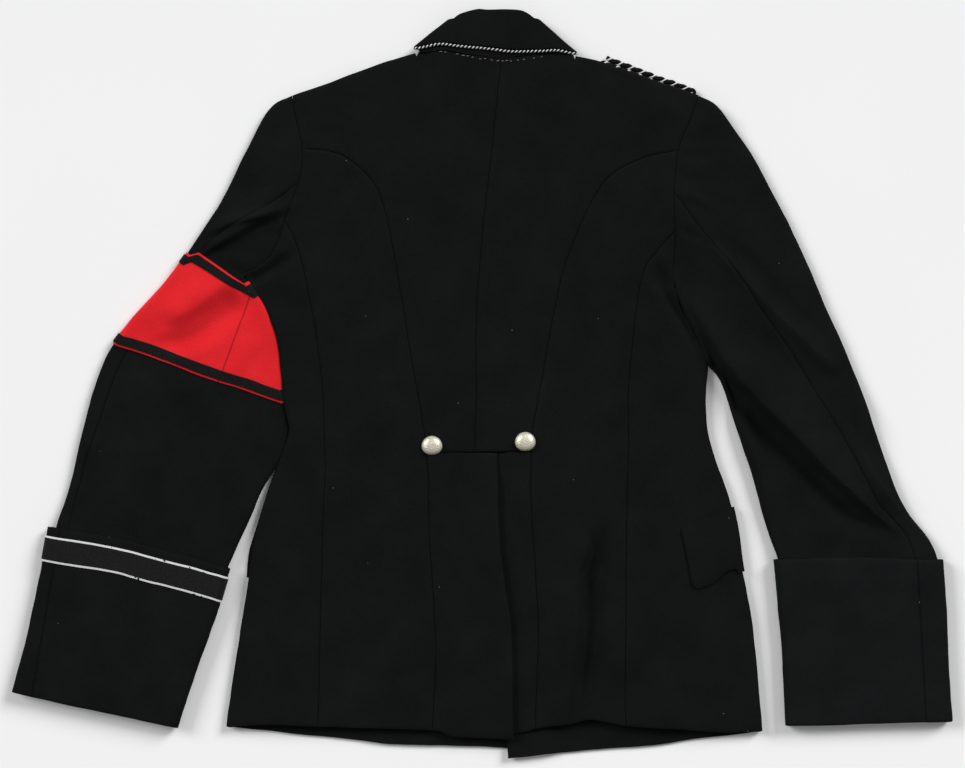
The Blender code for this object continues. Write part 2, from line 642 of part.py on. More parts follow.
def sleeve_grids(side):
    """The sleeve's parts: upper side in front of and behind the hind seam, its two rolls and its underside."""
    outer, inner, hind, steps = sleeve_lines(side)
    middle = len(outer) // 2
    out_n = side_normals(outer, inner[middle])
    in_n = side_normals(inner, outer[middle])
    out_n[0] = tip_normal(side)
    outer_rim = outer - out_n * ROLL
    inner_rim = inner - in_n * ROLL
    hole = armhole(side).copy()
    split = ARMHOLE_STEPS[0] + ARMHOLE_STEPS[1]
    hole[0] = outer_rim[0]
    hole[-1] = inner_rim[0]
    lift = sleeve_lift(side, steps)
    front_top = patch(hole[:split + 1], np.linspace(outer_rim[-1], hind[-1], split + 1), outer_rim, hind)
    back_top = patch(hole[split:], np.linspace(hind[-1], inner_rim[-1], len(hole) - split), hind, inner_rim)
    under = np.concatenate([back_top[:, ::-1], front_top[:, -2::-1]], axis=1)
    fore = 3
    cuff_row = len(lift) - steps[-1] - 1
    inside = np.zeros(len(lift))
    inside[cuff_row:] = 1

    def upper(plan):
        points = raised(plan, top_at)
        low = inside[:, None] > 0
        points[..., 2] = np.where(low, CUFF_TOP - WALL - 3 * LAYER_GAP, points[..., 2])
        points[..., 3:] = np.where(low[..., None], (0, 0, 1), points[..., 3:])
        return points
    out = {"front_top": upper(drawn_in(front_top, ("top", "last"))),
           "back_top": upper(drawn_in(back_top, ("top", "first"))),
           "back_under": level(drawn_in(under[:, :fore + 1].copy(), ("top", "last")), lift[:, None]),
           "front_under": level(drawn_in(under[:, fore:].copy(), ("top", "first")), lift[:, None])}
    out["inner_roll"] = roll_from(out["back_top"][:, -1], lift, in_n, ROLL)
    out["outer_roll"] = roll_from(out["front_top"][:, 0], lift, out_n, ROLL)
    out["back_under"][:, 0] = out["inner_roll"][-1]
    out["front_under"][:, -1] = out["outer_roll"][-1]
    return out, steps


def make_sleeve(side):
    """Top sleeve and under sleeve, which meet at the hind seam above and at the fore seam below."""
    parts, _ = sleeve_grids(side)
    for name, top, roll, under in (("top_sleeve", "front_top", "outer_roll", "front_under"),
                                   ("under_sleeve", "back_top", "inner_roll", "back_under")):
        turned = slice(None, None, 1 if name == "under_sleeve" else -1)
        upper = parts[top][:, turned]
        lower = parts[under][:, turned]
        across = upper.shape[1] - 1
        sheet = Sheet()
        sheet.block(0, 0, upper)
        sheet.block(0, across, np.concatenate([upper[:, -1][None], parts[roll]]).transpose(1, 0, 2))
        sheet.block(0, across + ROLL_STEPS, lower)
        sheet_piece(name + "_" + side, sheet)


def ring_rows(side):
    """All round the sleeve, row by row: upper side from the outer edge, inner roll, underside, outer roll."""
    parts, steps = sleeve_grids(side)
    rows = []
    for r in range(parts["front_top"].shape[0]):
        seam = (parts["front_top"][r, -1] + parts["back_top"][r, 0]) / 2
        fore = (parts["back_under"][r, -1] + parts["front_under"][r, 0]) / 2
        rows.append(np.vstack([parts["front_top"][r, :-1], seam, parts["back_top"][r, 1:],
                               parts["inner_roll"][:-1, r], parts["back_under"][r, :-1], fore,
                               parts["front_under"][r, 1:], parts["outer_roll"][:-1, r][::-1]]))
    return np.array(rows), steps


def moved_out(rows, amount):
    """A surface moved out along its own normals."""
    out = rows.copy()
    out[..., :3] += out[..., 3:] * amount
    return out


def make_ring(name, rows, slot, wall):
    sheet = Sheet()
    sheet.block(0, 0, rows)
    count = rows.shape[1]
    for i in range(len(rows) - 1):
        sheet.quads.add((i, count - 1))
    sheet_piece(name, sheet, slot, wall=wall, around=count)


def between_rows(part, share):
    """A ring at a share of the way along a stretch of rings, on their facets."""
    place = share * (len(part) - 1)
    k = min(int(place), len(part) - 2)
    return part[k] + (part[k + 1] - part[k]) * (place - k)


def make_armband():
    """Armband round the left sleeve, with a tape along each edge."""
    rows, steps = ring_rows("left")
    part = rows[steps[0]:steps[0] + steps[1] + 1]
    part[0] += (part[1] - part[0]) * BAND_INSET
    band_out = LAYER_GAP + BAND_WALL
    make_ring("armband", moved_out(part, band_out), "red_wool", BAND_WALL)
    for name, start in (("armband_tape_top", TAPE_MARGIN), ("armband_tape_bottom", 1 - TAPE_MARGIN - TAPE_WIDTH)):
        tape = np.array([between_rows(part, start + TAPE_WIDTH * k / 2) for k in range(3)])
        make_ring(name, moved_out(tape, band_out + LAYER_GAP + TAPE_WALL), "tape", TAPE_WALL)


def cuff_ring(side, share, lift):
    """One ring of a turned-back cuff, at a share of the way from its upper edge to the sleeve's end."""
    outer, _ = spline(LINES["cuff_outer_" + side])
    inner, _ = spline(LINES["cuff_inner_" + side])
    outer, inner = resample(outer, CUFF_STEPS), resample(inner, CUFF_STEPS)
    out_n = side_normals(outer, inner[CUFF_STEPS // 2])
    in_n = side_normals(inner, outer[CUFF_STEPS // 2])
    k = int(round(share * CUFF_STEPS))
    start = outer[k] - out_n[k] * CUFF_ROLL
    end = inner[k] - in_n[k] * CUFF_ROLL
    u = np.linspace(0, 1, CUFF_COLUMNS)[:, None]
    plan = (1 - u) * start + u * end + np.array(CUFF_BOW[side]) * (1 - share) * np.sin(math.pi * u)

    def height(points):
        return CUFF_TOP + folds_at(points) * CUFF_FOLD_SHARE
    top = raised(plan, height)
    low = level(plan[::-1], lift)
    inner_roll = roll_from(top[-1:], lift, in_n[k:k + 1], CUFF_ROLL)[:-1, 0]
    outer_roll = roll_from(top[:1], lift, out_n[k:k + 1], CUFF_ROLL)[:-1, 0][::-1]
    return np.vstack([top, inner_roll, low, outer_roll])


def make_cuff(side):
    """Turned-back cuff; the left one carries the woven ribbon, which holds it off the floor."""
    held = RIBBON_WALL + LAYER_GAP if side == "left" else 0
    rows = np.array([cuff_ring(side, share, held) for share in CUFF_SHARES[side]])
    make_ring("cuff_" + side, rows, "wool", WALL)
    if side == "left":
        band = np.array([rows[1], (rows[1] + rows[2]) / 2, rows[2]])
        make_ring("cuff_ribbon", moved_out(band, held), "ribbon", RIBBON_WALL)


def make_flap_right():
    """Right pocket flap: visible behind the side, then round the edge and on under the front."""
    rows = 4
    top = line_of("flap_right_top", (0, 3), (3,))
    hem = line_of("flap_right_hem", (0, 4), (3,))
    rear = line_of("flap_right_rear", (0, 2), (rows,))
    edge = line_of("edge_right", (7, 8), (rows,))
    normals = side_normals(edge, (0, 0))
    rim = edge - normals * ROLL
    top[-1] = rim[0]
    hem[-1] = rim[-1]
    proud = FLAP_CLEAR + FLAP_WALL
    upper = raised(patch(top, hem, rear, rim), lambda p: top_at(p) + proud)
    roll = roll_from(upper[:, -1], 0.0, normals, ROLL + proud)
    lower = level(np.linspace(rim, rim + FLAP_UNDER, 5).transpose(1, 0, 2), 0.0)
    lower[:, 0] = roll[-1]
    sheet = Sheet()
    sheet.block(0, 0, upper)
    sheet.block(0, 3, np.concatenate([upper[:, -1][None], roll]).transpose(1, 0, 2))
    sheet.block(0, 3 + ROLL_STEPS, lower)
    sheet_piece("pocket_flap_right", sheet, wall=FLAP_WALL)


def make_flap_left():
    """Left pocket flap: it lies under the front, and only its rear edge looks out past the side."""
    rear, front = (np.array(LINES["flap_left_" + end], float) for end in ("rear", "front"))
    sheet = Sheet()
    sheet.block(0, 0, level(np.linspace(rear, front, 6).transpose(1, 0, 2), 0.0))
    sheet_piece("pocket_flap_left", sheet, wall=FLAP_WALL)


def collar_ring(share, inward, edges, tops):
    """One line of collar cloth: front end, left fold, back, right fold, front end."""
    parts = []
    for roll_name, edge_name in (("collar_roll_back", edges[0]), ("collar_roll_front", edges[1])):
        roll = resample(spline(LINES[roll_name])[0], COLLAR_COLUMNS)
        low = resample(spline(LINES[edge_name])[0], COLLAR_COLUMNS)
        line = roll + (low - roll) * share
        across = unit(line[-1] - line[0])
        u = np.linspace(0, 1, COLLAR_COLUMNS + 1)[:, None]
        parts.append(line + across * (COLLAR_FOLD + inward) * (1 - 2 * u))
    back, front = parts
    tall = (tops[0] - tops[1]) / 2
    middle = (tops[0] + tops[1]) / 2
    folds = {}
    for name, end, sign in (("left", 0, -1), ("right", -1, 1)):
        centre = (back[end] + front[end]) / 2
        rows = []
        for k in range(1, ROLL_STEPS):
            angle = math.pi * k / ROLL_STEPS
            plan = centre + across * sign * COLLAR_FOLD * math.sin(angle)
            normal = unit(np.array((*(across * sign * math.sin(angle) * tall), math.cos(angle) * COLLAR_FOLD)))
            rows.append([*plan, middle + tall * math.cos(angle), *normal])
        folds[name] = np.array(rows)
    under = level(front, tops[1])
    slit = np.array((*(across * COLLAR_SLIT), 0, 0, 0, 0))
    half = COLLAR_COLUMNS // 2
    left_front, right_front = under[:half + 1][::-1].copy(), under[half:][::-1].copy()
    left_front[0] -= slit
    right_front[-1] += slit
    return np.vstack([left_front, folds["left"][::-1], level(back, tops[0], 1), folds["right"], right_front])


def make_collar():
    """Fall over stand, with a twisted cord along the fall's lower edge."""
    fall = np.array([collar_ring(share, 0, ("collar_edge_back", "collar_edge_front"), (FALL_TOP, 0.0))
                     for share in FALL_SHARES])
    up = unit(fall[0, :, :3] - fall[1, :, :3])
    lip = []
    for angle in (math.pi / 4, math.pi / 2):
        row = fall[0].copy()
        row[:, :3] += up * LIP * math.sin(angle) - fall[0, :, 3:] * LIP * (1 - math.cos(angle))
        row[:, 3:] = unit(fall[0, :, 3:] * math.cos(angle) + up * math.sin(angle))
        lip.append(row)
    sheet = Sheet()
    sheet.block(0, 0, np.vstack([np.array(lip)[::-1], fall]))
    sheet_piece("collar_fall", sheet)
    step = WALL + LAYER_GAP
    stand = np.array([collar_ring(share, step, ("neck_back", "neck_front"), (STAND_TOP, step + STAND_CLEAR))
                      for share in STAND_SHARES])
    stand_sheet = Sheet()
    stand_sheet.block(0, 0, stand)
    sheet_piece("collar_stand", stand_sheet)
    down = unit(fall[-1, :, :3] - fall[-2, :, :3])
    edge = fall[-1, :, :3] + down * (PIPING + PIPING_CLEAR) - fall[-1, :, 3:] * PIPING
    cord_piece("collar_piping", edge, PIPING)


def cord_piece(name, points, radius):
    """A round cord along its points, with closed ends."""
    curve = bpy.data.curves.new(name, "CURVE")
    curve.dimensions = "3D"
    curve.bevel_depth = radius * MM
    curve.bevel_resolution = 1
    curve.use_fill_caps = True
    path = curve.splines.new("POLY")
    path.points.add(len(points) - 1)
    for slot, point in zip(path.points, points):
        slot.co = (*(np.asarray(point) * MM), 1)
    curve.materials.append(material("cord"))
    tunic.objects.link(bpy.data.objects.new(name, curve))


def make_shoulder_cord():
    """Cord shoulder board: one cord laid to and fro in four runs, mostly under the shoulder's edge."""
    start, end = (np.array(p, float) for p in LINES["shoulder_cord"])
    along = unit(end - start)
    out = np.array((-along[1], along[0]))
    points = []
    for run in range(CORD_RUNS):
        ends = (start, end) if run % 2 == 0 else (end, start)
        place = CORD_SHOWN - run * CORD_PITCH
        points += [p + out * place for p in np.linspace(ends[0], ends[1], 7)]
        if run < CORD_RUNS - 1:
            turn = along * (1 if run % 2 == 0 else -1)
            for angle in (0.25 * math.pi, 0.5 * math.pi, 0.75 * math.pi):
                swing = out * (math.cos(angle) - 1) + turn * math.sin(angle)
                points.append(ends[1] + out * place + swing * CORD_PITCH / 2)
    cord_piece("shoulder_cord", [(*p, CORD_RADIUS) for p in points], CORD_RADIUS)


def make_button(name, place, base, height, down=False):
    """A domed button as a turned profile, from its crown to its flat back."""
    profile = [(0.0, height), (0.55 * BUTTON_RADIUS, 0.86 * height), (0.88 * BUTTON_RADIUS, 0.55 * height),
               (BUTTON_RADIUS, 0.22 * height), (0.94 * BUTTON_RADIUS, 0.0), (0.0, 0.0)]
    mesh = bpy.data.meshes.new(name)
    mesh.from_pydata([(x * MM, 0, z * MM) for x, z in profile], [(i, i + 1) for i in range(len(profile) - 1)], [])
    piece = put(name, mesh, "button")
    turn = piece.modifiers.new("turned", "SCREW")
    turn.steps = 18
    turn.render_steps = 18
    turn.use_merge_vertices = True
    turn.merge_threshold = 0.00005
    piece.location = (place[0] * MM, place[1] * MM, base * MM)
    if down:
        piece.rotation_euler = (math.pi, 0, 0)


def make_buttons():
    for side, place in zip(("left", "right"), BACK_BUTTONS):
        around = np.array(place) + BUTTON_RADIUS * np.array([(0, 0), (1, 0), (-1, 0), (0, 1), (0, -1)])
        base = float(top_at(around.astype(float)).max()) + 0.4
        make_button("back_button_" + side, place, base, BUTTON_HEIGHT)
    for number, place in enumerate(FRONT_BUTTONS, 1):
        make_button("front_button_%d" % number, place, FRONT_BUTTON_HEIGHT, FRONT_BUTTON_HEIGHT, down=True)


FRONT_UNDER = {"left": under_left, "right": under_right}

for old in list(bpy.data.objects):
    bpy.data.objects.remove(old, do_unlink=True)
tunic = bpy.data.collections.new("tunic")
bpy.context.scene.collection.children.link(tunic)

for one in ("left", "right"):
    make_back(one)
    make_side_back(one)
    make_skirt(one)
    make_front(one)
    make_sleeve(one)
    make_cuff(one)
make_armband()
make_flap_left()
make_flap_right()
make_collar()
make_shoulder_cord()
make_buttons()
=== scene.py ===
"""Dressed military tunic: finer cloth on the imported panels, trims, materials, light and camera.

Plan tables are in millimetres, +X to the right and +Y to the collar, and z = 0 is the surface that it lies on.
"""
import math

import bpy
import numpy as np
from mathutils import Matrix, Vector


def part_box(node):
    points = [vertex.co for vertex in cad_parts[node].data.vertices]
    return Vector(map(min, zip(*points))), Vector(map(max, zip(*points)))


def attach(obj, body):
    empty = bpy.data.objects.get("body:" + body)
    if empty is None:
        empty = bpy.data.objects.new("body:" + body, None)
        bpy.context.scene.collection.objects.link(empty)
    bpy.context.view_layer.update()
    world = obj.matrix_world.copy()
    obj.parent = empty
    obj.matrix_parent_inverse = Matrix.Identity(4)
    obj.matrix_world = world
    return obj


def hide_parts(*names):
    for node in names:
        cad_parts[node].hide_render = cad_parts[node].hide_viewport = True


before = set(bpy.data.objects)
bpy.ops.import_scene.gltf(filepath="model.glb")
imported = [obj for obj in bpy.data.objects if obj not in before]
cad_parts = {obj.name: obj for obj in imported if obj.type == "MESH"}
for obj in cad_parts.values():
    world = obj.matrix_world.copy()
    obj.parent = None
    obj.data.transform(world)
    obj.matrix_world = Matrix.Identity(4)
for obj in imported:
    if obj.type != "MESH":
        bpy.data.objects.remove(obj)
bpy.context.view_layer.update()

MM = 0.001
F = 9

# Driving sizes, in millimetres
WALL = 2.4
SEAM_GAP = 0.4
ROLL = 4.2
EDGE_TOP = 8.4
MIDDLE_TOP = 11.0
CROWN_REACH = 60.0
SIDE_CLEAR = {"left": -1.6, "right": -2.0}
ROLL_STEPS = 8
ARMHOLE_STEPS = (3, 2, 2, 3)
BODY_STEPS = (10, 7)
SHOULDER_SHARE = 0.75
FOLD_EDGE = 14.0
FRONT_OVER = 3.1
OVER_SPREAD = 9.0
OVER_FROM = 5.0
OVER_FADE = 14.0
CLOSING_COLUMNS = {"left": (66.0, 38.0), "right": (24.0, 7.0)}
VENT_UNDER = 2.8
UNDERLAP = 18.0
UNDERLAP_FROM = 3.0
BAND_WALL = 1.2
TAPE_WALL = 0.6
TAPE_WIDTH = 0.085
TAPE_MARGIN = 0.02
BAND_INSET = 0.02
LAYER_GAP = 0.35
CUFF_TOP = 13.8
CUFF_ROLL = 5.4
CUFF_FOLD_SHARE = 0.6
FLAP_WALL = 1.8
FLAP_CLEAR = 0.65
FLAP_UNDER = (-92.0, 6.0)
FALL_TOP = 13.8
STAND_TOP = 10.9
PIPING = 1.4
PIPING_CLEAR = 1.35
BUTTON_RADIUS = 10.6
BUTTON_HEIGHT = 6.0
FRONT_BUTTON_HEIGHT = 2.2
CORD_RADIUS = 2.5
LIP = 2.8
RIBBON_WALL = 0.8
CUFF_BOW = {"left": (0.8, 4.0), "right": (0.0, 2.0)}
RIBBON_SHARES = (0.05, 0.2)
CUFF_STEPS = 40
CUFF_COLUMNS = 9
COLLAR_COLUMNS = 8
COLLAR_FOLD = 5.2
COLLAR_SLIT = 0.6
STAND_CLEAR = 0.12
STAND_SHARES = (0.03, 0.35, 0.67, 0.93)
COLLAR_MIDDLE = 14.0
PIPING_DRAW = 0.984
PIPING_TUCK = 1.6
CORD_RUNS = 4
CORD_PITCH = 5.5
CORD_SHOWN = 2.3
CORD_SWELL = 1.22
INNER_FLOOR = 0.15
SWELL_EASE = 22.0
CREASE_EASE = 8.0
PUCKER_EASE = 10.0
HOLLOW_EASE = 25.0
VENT_LIFT = 2.6
VENT_FADE = 26.0
VENT_TOP = -72.0
VENT_EASE = 40.0
TAPE_SLANT = 0.3
RIM_TURN = 0.9
RIM_SHARE = 0.02
BUTTON_SIDES = 56
BUTTON_TIP = 0.84

# Seams and edges in plan: columns x, y
LINES = {
    "shoulder_left": [(-197, 297), (-170, 307), (-114, 328), (-69, 342)],
    "shoulder_right": [(223, 297), (167, 317), (118, 333), (97, 338)],
    "armhole_left": [(-197, 297), (-191, 270), (-186, 243), (-190, 208), (-204, 170), (-217, 134), (-247, 112)],
    "armhole_right": [(223, 297), (213, 270), (202, 241), (197, 197), (198, 157), (197, 128), (194, 100)],
    "neck_back": [(-69, 342), (-44, 344), (-13, 339), (20, 336), (51, 339), (75, 341), (97, 338)],
    "neck_front": [(-69, 342), (-54, 318), (-21, 296), (14, 288), (57, 295), (84, 314), (97, 338)],
    "centre_back": [(20, 336), (12, 262), (5, 200), (-3, 128), (-6, 66), (-8, -70)],
    "princess_left": [(-186, 243), (-150, 237), (-122, 218), (-103, 187), (-88, 116), (-74, 30), (-58, -70),
                      (-54, -163), (-48, -265), (-52, -357)],
    "princess_right": [(202, 241), (168, 234), (134, 216), (113, 187), (85, 122), (68, 43), (50, -70),
                       (53, -163), (57, -260), (55, -355)],
    "side_left": [(-204, 170), (-191, 143), (-180, 98), (-167, 15), (-162, -70), (-166, -175), (-168, -302),
                  (-170, -353)],
    "side_right": [(198, 157), (179, 136), (163, 104), (151, 3), (150, -70), (148, -175), (147, -289),
                   (148, -352)],
    "edge_left": [(-249, 114), (-244, 106), (-214, 52), (-205, -20), (-199, -47), (-210, -78), (-232, -144),
                  (-243, -210), (-254, -276), (-265, -353)],
    "edge_right": [(197, 98), (214, 66), (226, 42), (233, 22), (231, -5), (231, -29), (236, -62), (257, -128),
                   (269, -194), (280, -260), (289, -358)],
    "vent": [(15, -71), (18, -163), (30, -264), (32, -366)],
    "hem_back_left": [(-265, -353), (-222, -351), (-170, -353), (-125, -355), (-52, -357), (-28, -364), (32, -366)],
    "hem_back_right": [(32, -358), (55, -355), (89, -351), (113, -346), (148, -352), (188, -355), (239, -359),
                       (289, -358)],
    "hem_front_left": [(-265, -353), (-178, -363), (-95, -372), (8, -375), (62, -377)],
    "hem_front_right": [(26, -386), (111, -379), (193, -371), (289, -358)],
    "front_edge_left": [(32, 290), (62, -377)],
    "front_edge_right": [(-4, 289), (26, -386)],
    "sleeve_outer_left": [(-197, 297), (-219, 285), (-243, 243), (-268, 192), (-304, 136), (-332, 99), (-381, 42),
                          (-403, -12), (-427, -109), (-439, -146), (-457, -229), (-478, -309)],
    "sleeve_inner_left": [(-228, -111), (-242, -144), (-264, -193), (-280, -239), (-299, -293), (-319, -347)],
    "sleeve_outer_right": [(223, 297), (243, 286), (266, 255), (292, 212), (332, 132), (351, 87), (391, -6),
                           (422, -97), (440, -134), (469, -180), (473, -264), (475, -341)],
    "sleeve_inner_right": [(246, 2), (262, -45), (275, -86), (292, -144), (305, -182), (308, -216), (313, -278),
                           (317, -344)],
    "hind_left": [(-190, 208), (-213, 190), (-253, 166), (-291, 136), (-366, 36), (-396, -42), (-411, -87),
                  (-427, -149), (-466, -312)],
    "hind_right": [(197, 197), (225, 159), (261, 116), (316, 34), (368, -48), (403, -116), (446, -181),
                   (452, -341)],
    "cuff_outer_left": [(-448, -147), (-456, -194), (-466, -243), (-485, -317)],
    "cuff_inner_left": [(-260, -191), (-275, -239), (-294, -293), (-314, -355)],
    "cuff_outer_right": [(475, -181), (478, -226), (480, -278), (485, -348)],
    "cuff_inner_right": [(300, -181), (303, -216), (308, -278), (312, -352)],
    "collar_roll_back": [(-37, 375), (-28, 380), (-8, 384), (6, 383), (38, 383), (51, 380), (60, 375)],
    "collar_edge_back": [(-71, 348), (-47, 352), (-22, 350), (10, 347), (30, 345), (62, 345), (83, 345), (99, 342)],
    "collar_roll_front": [(-37, 375), (-20, 345), (14, 322), (44, 345), (60, 375)],
    "collar_edge_front": [(-71, 348), (-52, 327), (-21, 306), (14, 299), (57, 305), (82, 320), (99, 342)],
    "flap_right_rear": [(205, -150), (211, -178), (216, -207)],
    "flap_right_top": [(205, -150), (222, -141), (239, -136), (257, -128)],
    "flap_right_hem": [(216, -207), (223, -211), (237, -205), (252, -194), (269, -188)],
    "flap_left_rear": [(-231, -140), (-241, -172), (-244, -200)],
    "flap_left_front": [(-112, -144), (-112, -172), (-114, -202)],
    "shoulder_cord": [(128, 334), (215, 301)],
}

# Which point of a back hem each seam meets
HEM_STOPS = {"left": {"edge": 0, "side": 2, "princess": 4, "vent": 6},
             "right": {"edge": 7, "side": 4, "princess": 1, "vent": 0}}

# Main folds of the upper cloth: height, reach to the left and to the right of the line, and the line
FOLDS = [
    (-2.2, 9, 22, [(116, -135), (104, -215), (92, -330)]),
    (2.0, 20, 26, [(177, -280), (191, -316), (191, -370)]),
    (1.4, 30, 34, [(-150, -120), (-120, -230), (-110, -360)]),
    (4.2, 30, 12, [(204, 100), (240, 40), (294, -28), (356, -93), (430, -158)]),
    (2.4, 18, 14, [(228, 152), (287, 93), (349, 29), (372, 10)]),
    (2.6, 22, 20, [(394, -15), (391, -70), (433, -135)]),
    (3.0, 15, 26, [(-196, 210), (-245, 168), (-285, 140)]),
    (-1.3, 20, 20, [(-246, 92), (-300, 70), (-355, 44)]),
    (2.0, 50, 50, [(-330, 20), (-350, -110)]),
]

# What lies under the cloth and lifts it: half its width, fading reach, lift, and its line
LIFTS = {
    "flap_left": (52, 30, 2.5, [(-240, -172), (-130, -172)]),
    "flap_right": (52, 30, 2.5, [(270, -165), (175, -165)]),
    "shoulder_board": (18, 34, 5.8, [(122, 332), (222, 296)]),
    "neck": (8, 40, 2.9, [(-60, 315), (-21, 292), (14, 285), (57, 291), (88, 310)]),
    "buttoning": (19, 30, 2.6, [(15, 300), (32, -19)]),
    "sleeve_below": (0, 40, 4.0, [(-213, 52), (-200, -40)]),
}
FRONT_BUTTONS = [(17, 262), (21, 165), (25, 68), (29, -18)]
BACK_BUTTONS = [(-52, -64), (44, -60)]


def smooth(value):
    """Ease from 0 to 1."""
    t = np.clip(value, 0.0, 1.0)
    return t * t * (3.0 - 2.0 * t)


def spline(points, dense=32):
    """A Catmull-Rom line through the points, and the index of each point on it."""
    p = np.array(points, float)
    p = np.vstack([2 * p[0] - p[1], p, 2 * p[-1] - p[-2]])
    t = np.linspace(0, 1, dense, endpoint=False)[:, None]
    pieces = []
    for a, b, c, d in zip(p[:-3], p[1:-2], p[2:-1], p[3:]):
        pieces.append(0.5 * (2 * b + (c - a) * t + (2 * a - 5 * b + 4 * c - d) * t * t
                             + (3 * b - a - 3 * c + d) * t ** 3))
    return np.vstack(pieces + [p[-2:-1]]), [i * dense for i in range(len(points))]


def resample(line, steps):
    """The same line with equal steps."""
    length = np.concatenate([[0], np.cumsum(np.linalg.norm(np.diff(line, axis=0), axis=1))])
    at = np.linspace(0, length[-1], steps + 1)
    return np.column_stack([np.interp(at, length, line[:, k]) for k in range(line.shape[1])])


def stretch(points, stops, steps):
    """A table line cut at some of its points, with equal steps between each two of them."""
    line, index = spline(points)
    pieces = [resample(line[index[a]:index[b] + 1], n * F) for a, b, n in zip(stops[:-1], stops[1:], steps)]
    return np.vstack([pieces[0]] + [piece[1:] for piece in pieces[1:]])


def line_of(name, stops, steps):
    return stretch(LINES[name], stops, steps)


def side_normals(line, toward):
    """Unit plan normals of a line, on the side away from a point."""
    d = np.gradient(line, axis=0)
    n = np.column_stack([d[:, 1], -d[:, 0]])
    n /= np.linalg.norm(n, axis=1)[:, None]
    middle = len(line) // 2
    if np.dot(n[middle], np.asarray(toward) - line[middle]) > 0:
        n = -n
    return n


def distance(points, line):
    """Plan distance from each point to a line, its share along the line, and the side it lies on."""
    best = np.full(points.shape[:-1], 1e9)
    share = np.zeros(points.shape[:-1])
    side = np.ones(points.shape[:-1])
    line = np.asarray(line, float)
    count = len(line) - 1
    for k in range(count):
        a, d = line[k], line[k + 1] - line[k]
        t = np.clip(((points - a) @ d) / (d @ d), 0, 1)
        gap = points - a - t[..., None] * d
        far = np.linalg.norm(gap, axis=-1)
        near = far < best
        best = np.where(near, far, best)
        share = np.where(near, (k + t) / count, share)
        side = np.where(near, np.sign(d[0] * gap[..., 1] - d[1] * gap[..., 0]), side)
    return best, share, side


def lift_of(points, name):
    """How far one of the things below raises the cloth."""
    half, fade, lift, line = LIFTS[name]
    return lift * (1 - smooth((distance(points, line)[0] - half) / fade))


SILHOUETTE = [spline(LINES[name], 6)[0] for name in
              ("shoulder_left", "shoulder_right", "edge_left", "edge_right", "sleeve_outer_left",
               "sleeve_outer_right", "sleeve_inner_left", "sleeve_inner_right")]
FOLD_LINES = [spline(row[3], 8)[0] for row in FOLDS]


def from_edge(points):
    """Plan distance from the garment's nearest outer edge."""
    return np.min([distance(points, line)[0] for line in SILHOUETTE], axis=0)


def folds_of(points, table, lines, fade):
    """Height of a table of folds, each eased out beside its line and over a share of it at both ends."""
    height = np.zeros(points.shape[:-1])
    for (tall, left, right, _), line in zip(table, lines):
        far, share, side = distance(points, line)
        ends = smooth(share / fade) * smooth((1 - share) / fade)
        height += tall * ends * (1 - smooth(far / np.where(side > 0, left, right)))
    return height


def folds_at(points):
    return folds_of(points, FOLDS, FOLD_LINES, 0.2)


def top_at(points):
    """Height of the upper cloth's outer face: low at the rolled edges, higher inside, with its folds."""
    far = from_edge(points)
    crown = EDGE_TOP + (MIDDLE_TOP - EDGE_TOP) * smooth(far / CROWN_REACH)
    crown = crown + SHOULDER_SHARE * lift_of(points, "shoulder_board")
    return crown + folds_at(points) * smooth(far / FOLD_EDGE)


def across_at(line, y):
    """Where a line that runs down the part stands across it, at each y."""
    return np.interp(y, line[::-1, 1], line[::-1, 0])


def under_left(points):
    """Height of the left front's outer face, over what lies between it and the floor."""
    names = ("flap_left", "neck", "buttoning")
    return np.max([lift_of(points, name) for name in names], axis=0)


def under_right(points):
    """The right front, which also rises over the left front's edge where the two overlap."""
    names = ("flap_right", "shoulder_board", "neck")
    lift = np.max([lift_of(points, name) for name in names], axis=0)
    past = points[..., 0] - across_at(np.array(LINES["front_edge_left"], float), points[..., 1])
    over = 1 - smooth((past - OVER_FROM) / OVER_FADE)
    below = np.maximum(under_left(points), under_left(points + (0, OVER_SPREAD)))
    return np.maximum(lift, np.where(over > 0, (below + FRONT_OVER) * over, 0))


def patch(top, bottom, first, last):
    """Plan points between four sides: rows from top to bottom, columns from first to last."""
    rows, columns = len(first), len(top)
    u = np.linspace(0, 1, columns)[None, :, None]
    v = np.linspace(0, 1, rows)[:, None, None]
    across = (1 - u) * first[:, None, :] + u * last[:, None, :]
    down = (1 - v) * top[None, :, :] + v * bottom[None, :, :]
    corners = ((1 - u) * (1 - v) * top[0] + u * (1 - v) * top[-1]
               + (1 - u) * v * bottom[0] + u * v * bottom[-1])
    return across + down - corners


def drawn_in(grid, sides, gap=SEAM_GAP / 2):
    """Move the named sides of a plan grid in by half a seam's gap."""
    views = {"top": (grid[0], grid[1]), "bottom": (grid[-1], grid[-2]),
             "first": (grid[:, 0], grid[:, 1]), "last": (grid[:, -1], grid[:, -2])}
    moves = []
    for side in sides:
        rim, inside = views[side]
        d = np.gradient(rim, axis=0)
        n = np.column_stack([-d[:, 1], d[:, 0]])
        n /= np.linalg.norm(n, axis=1)[:, None]
        n *= np.sign(np.sum(n * (inside - rim), axis=1))[:, None]
        moves.append((rim, n * gap))
    for rim, move in moves:
        rim += move
    return grid


def unit(vectors):
    return vectors / np.linalg.norm(vectors, axis=-1)[..., None]


def raised(grid, height, face=1):
    """Points at their height with the outward normals of that face, +1 for the upper side and -1 for the under."""
    reach = 0.5
    z = height(grid)
    slope_x = (height(grid + (reach, 0)) - height(grid - (reach, 0))) / (2 * reach)
    slope_y = (height(grid + (0, reach)) - height(grid - (0, reach))) / (2 * reach)
    normal = unit(np.stack([-slope_x, -slope_y, np.ones_like(z)], axis=-1)) * face
    return np.concatenate([grid, z[..., None], normal], axis=-1)


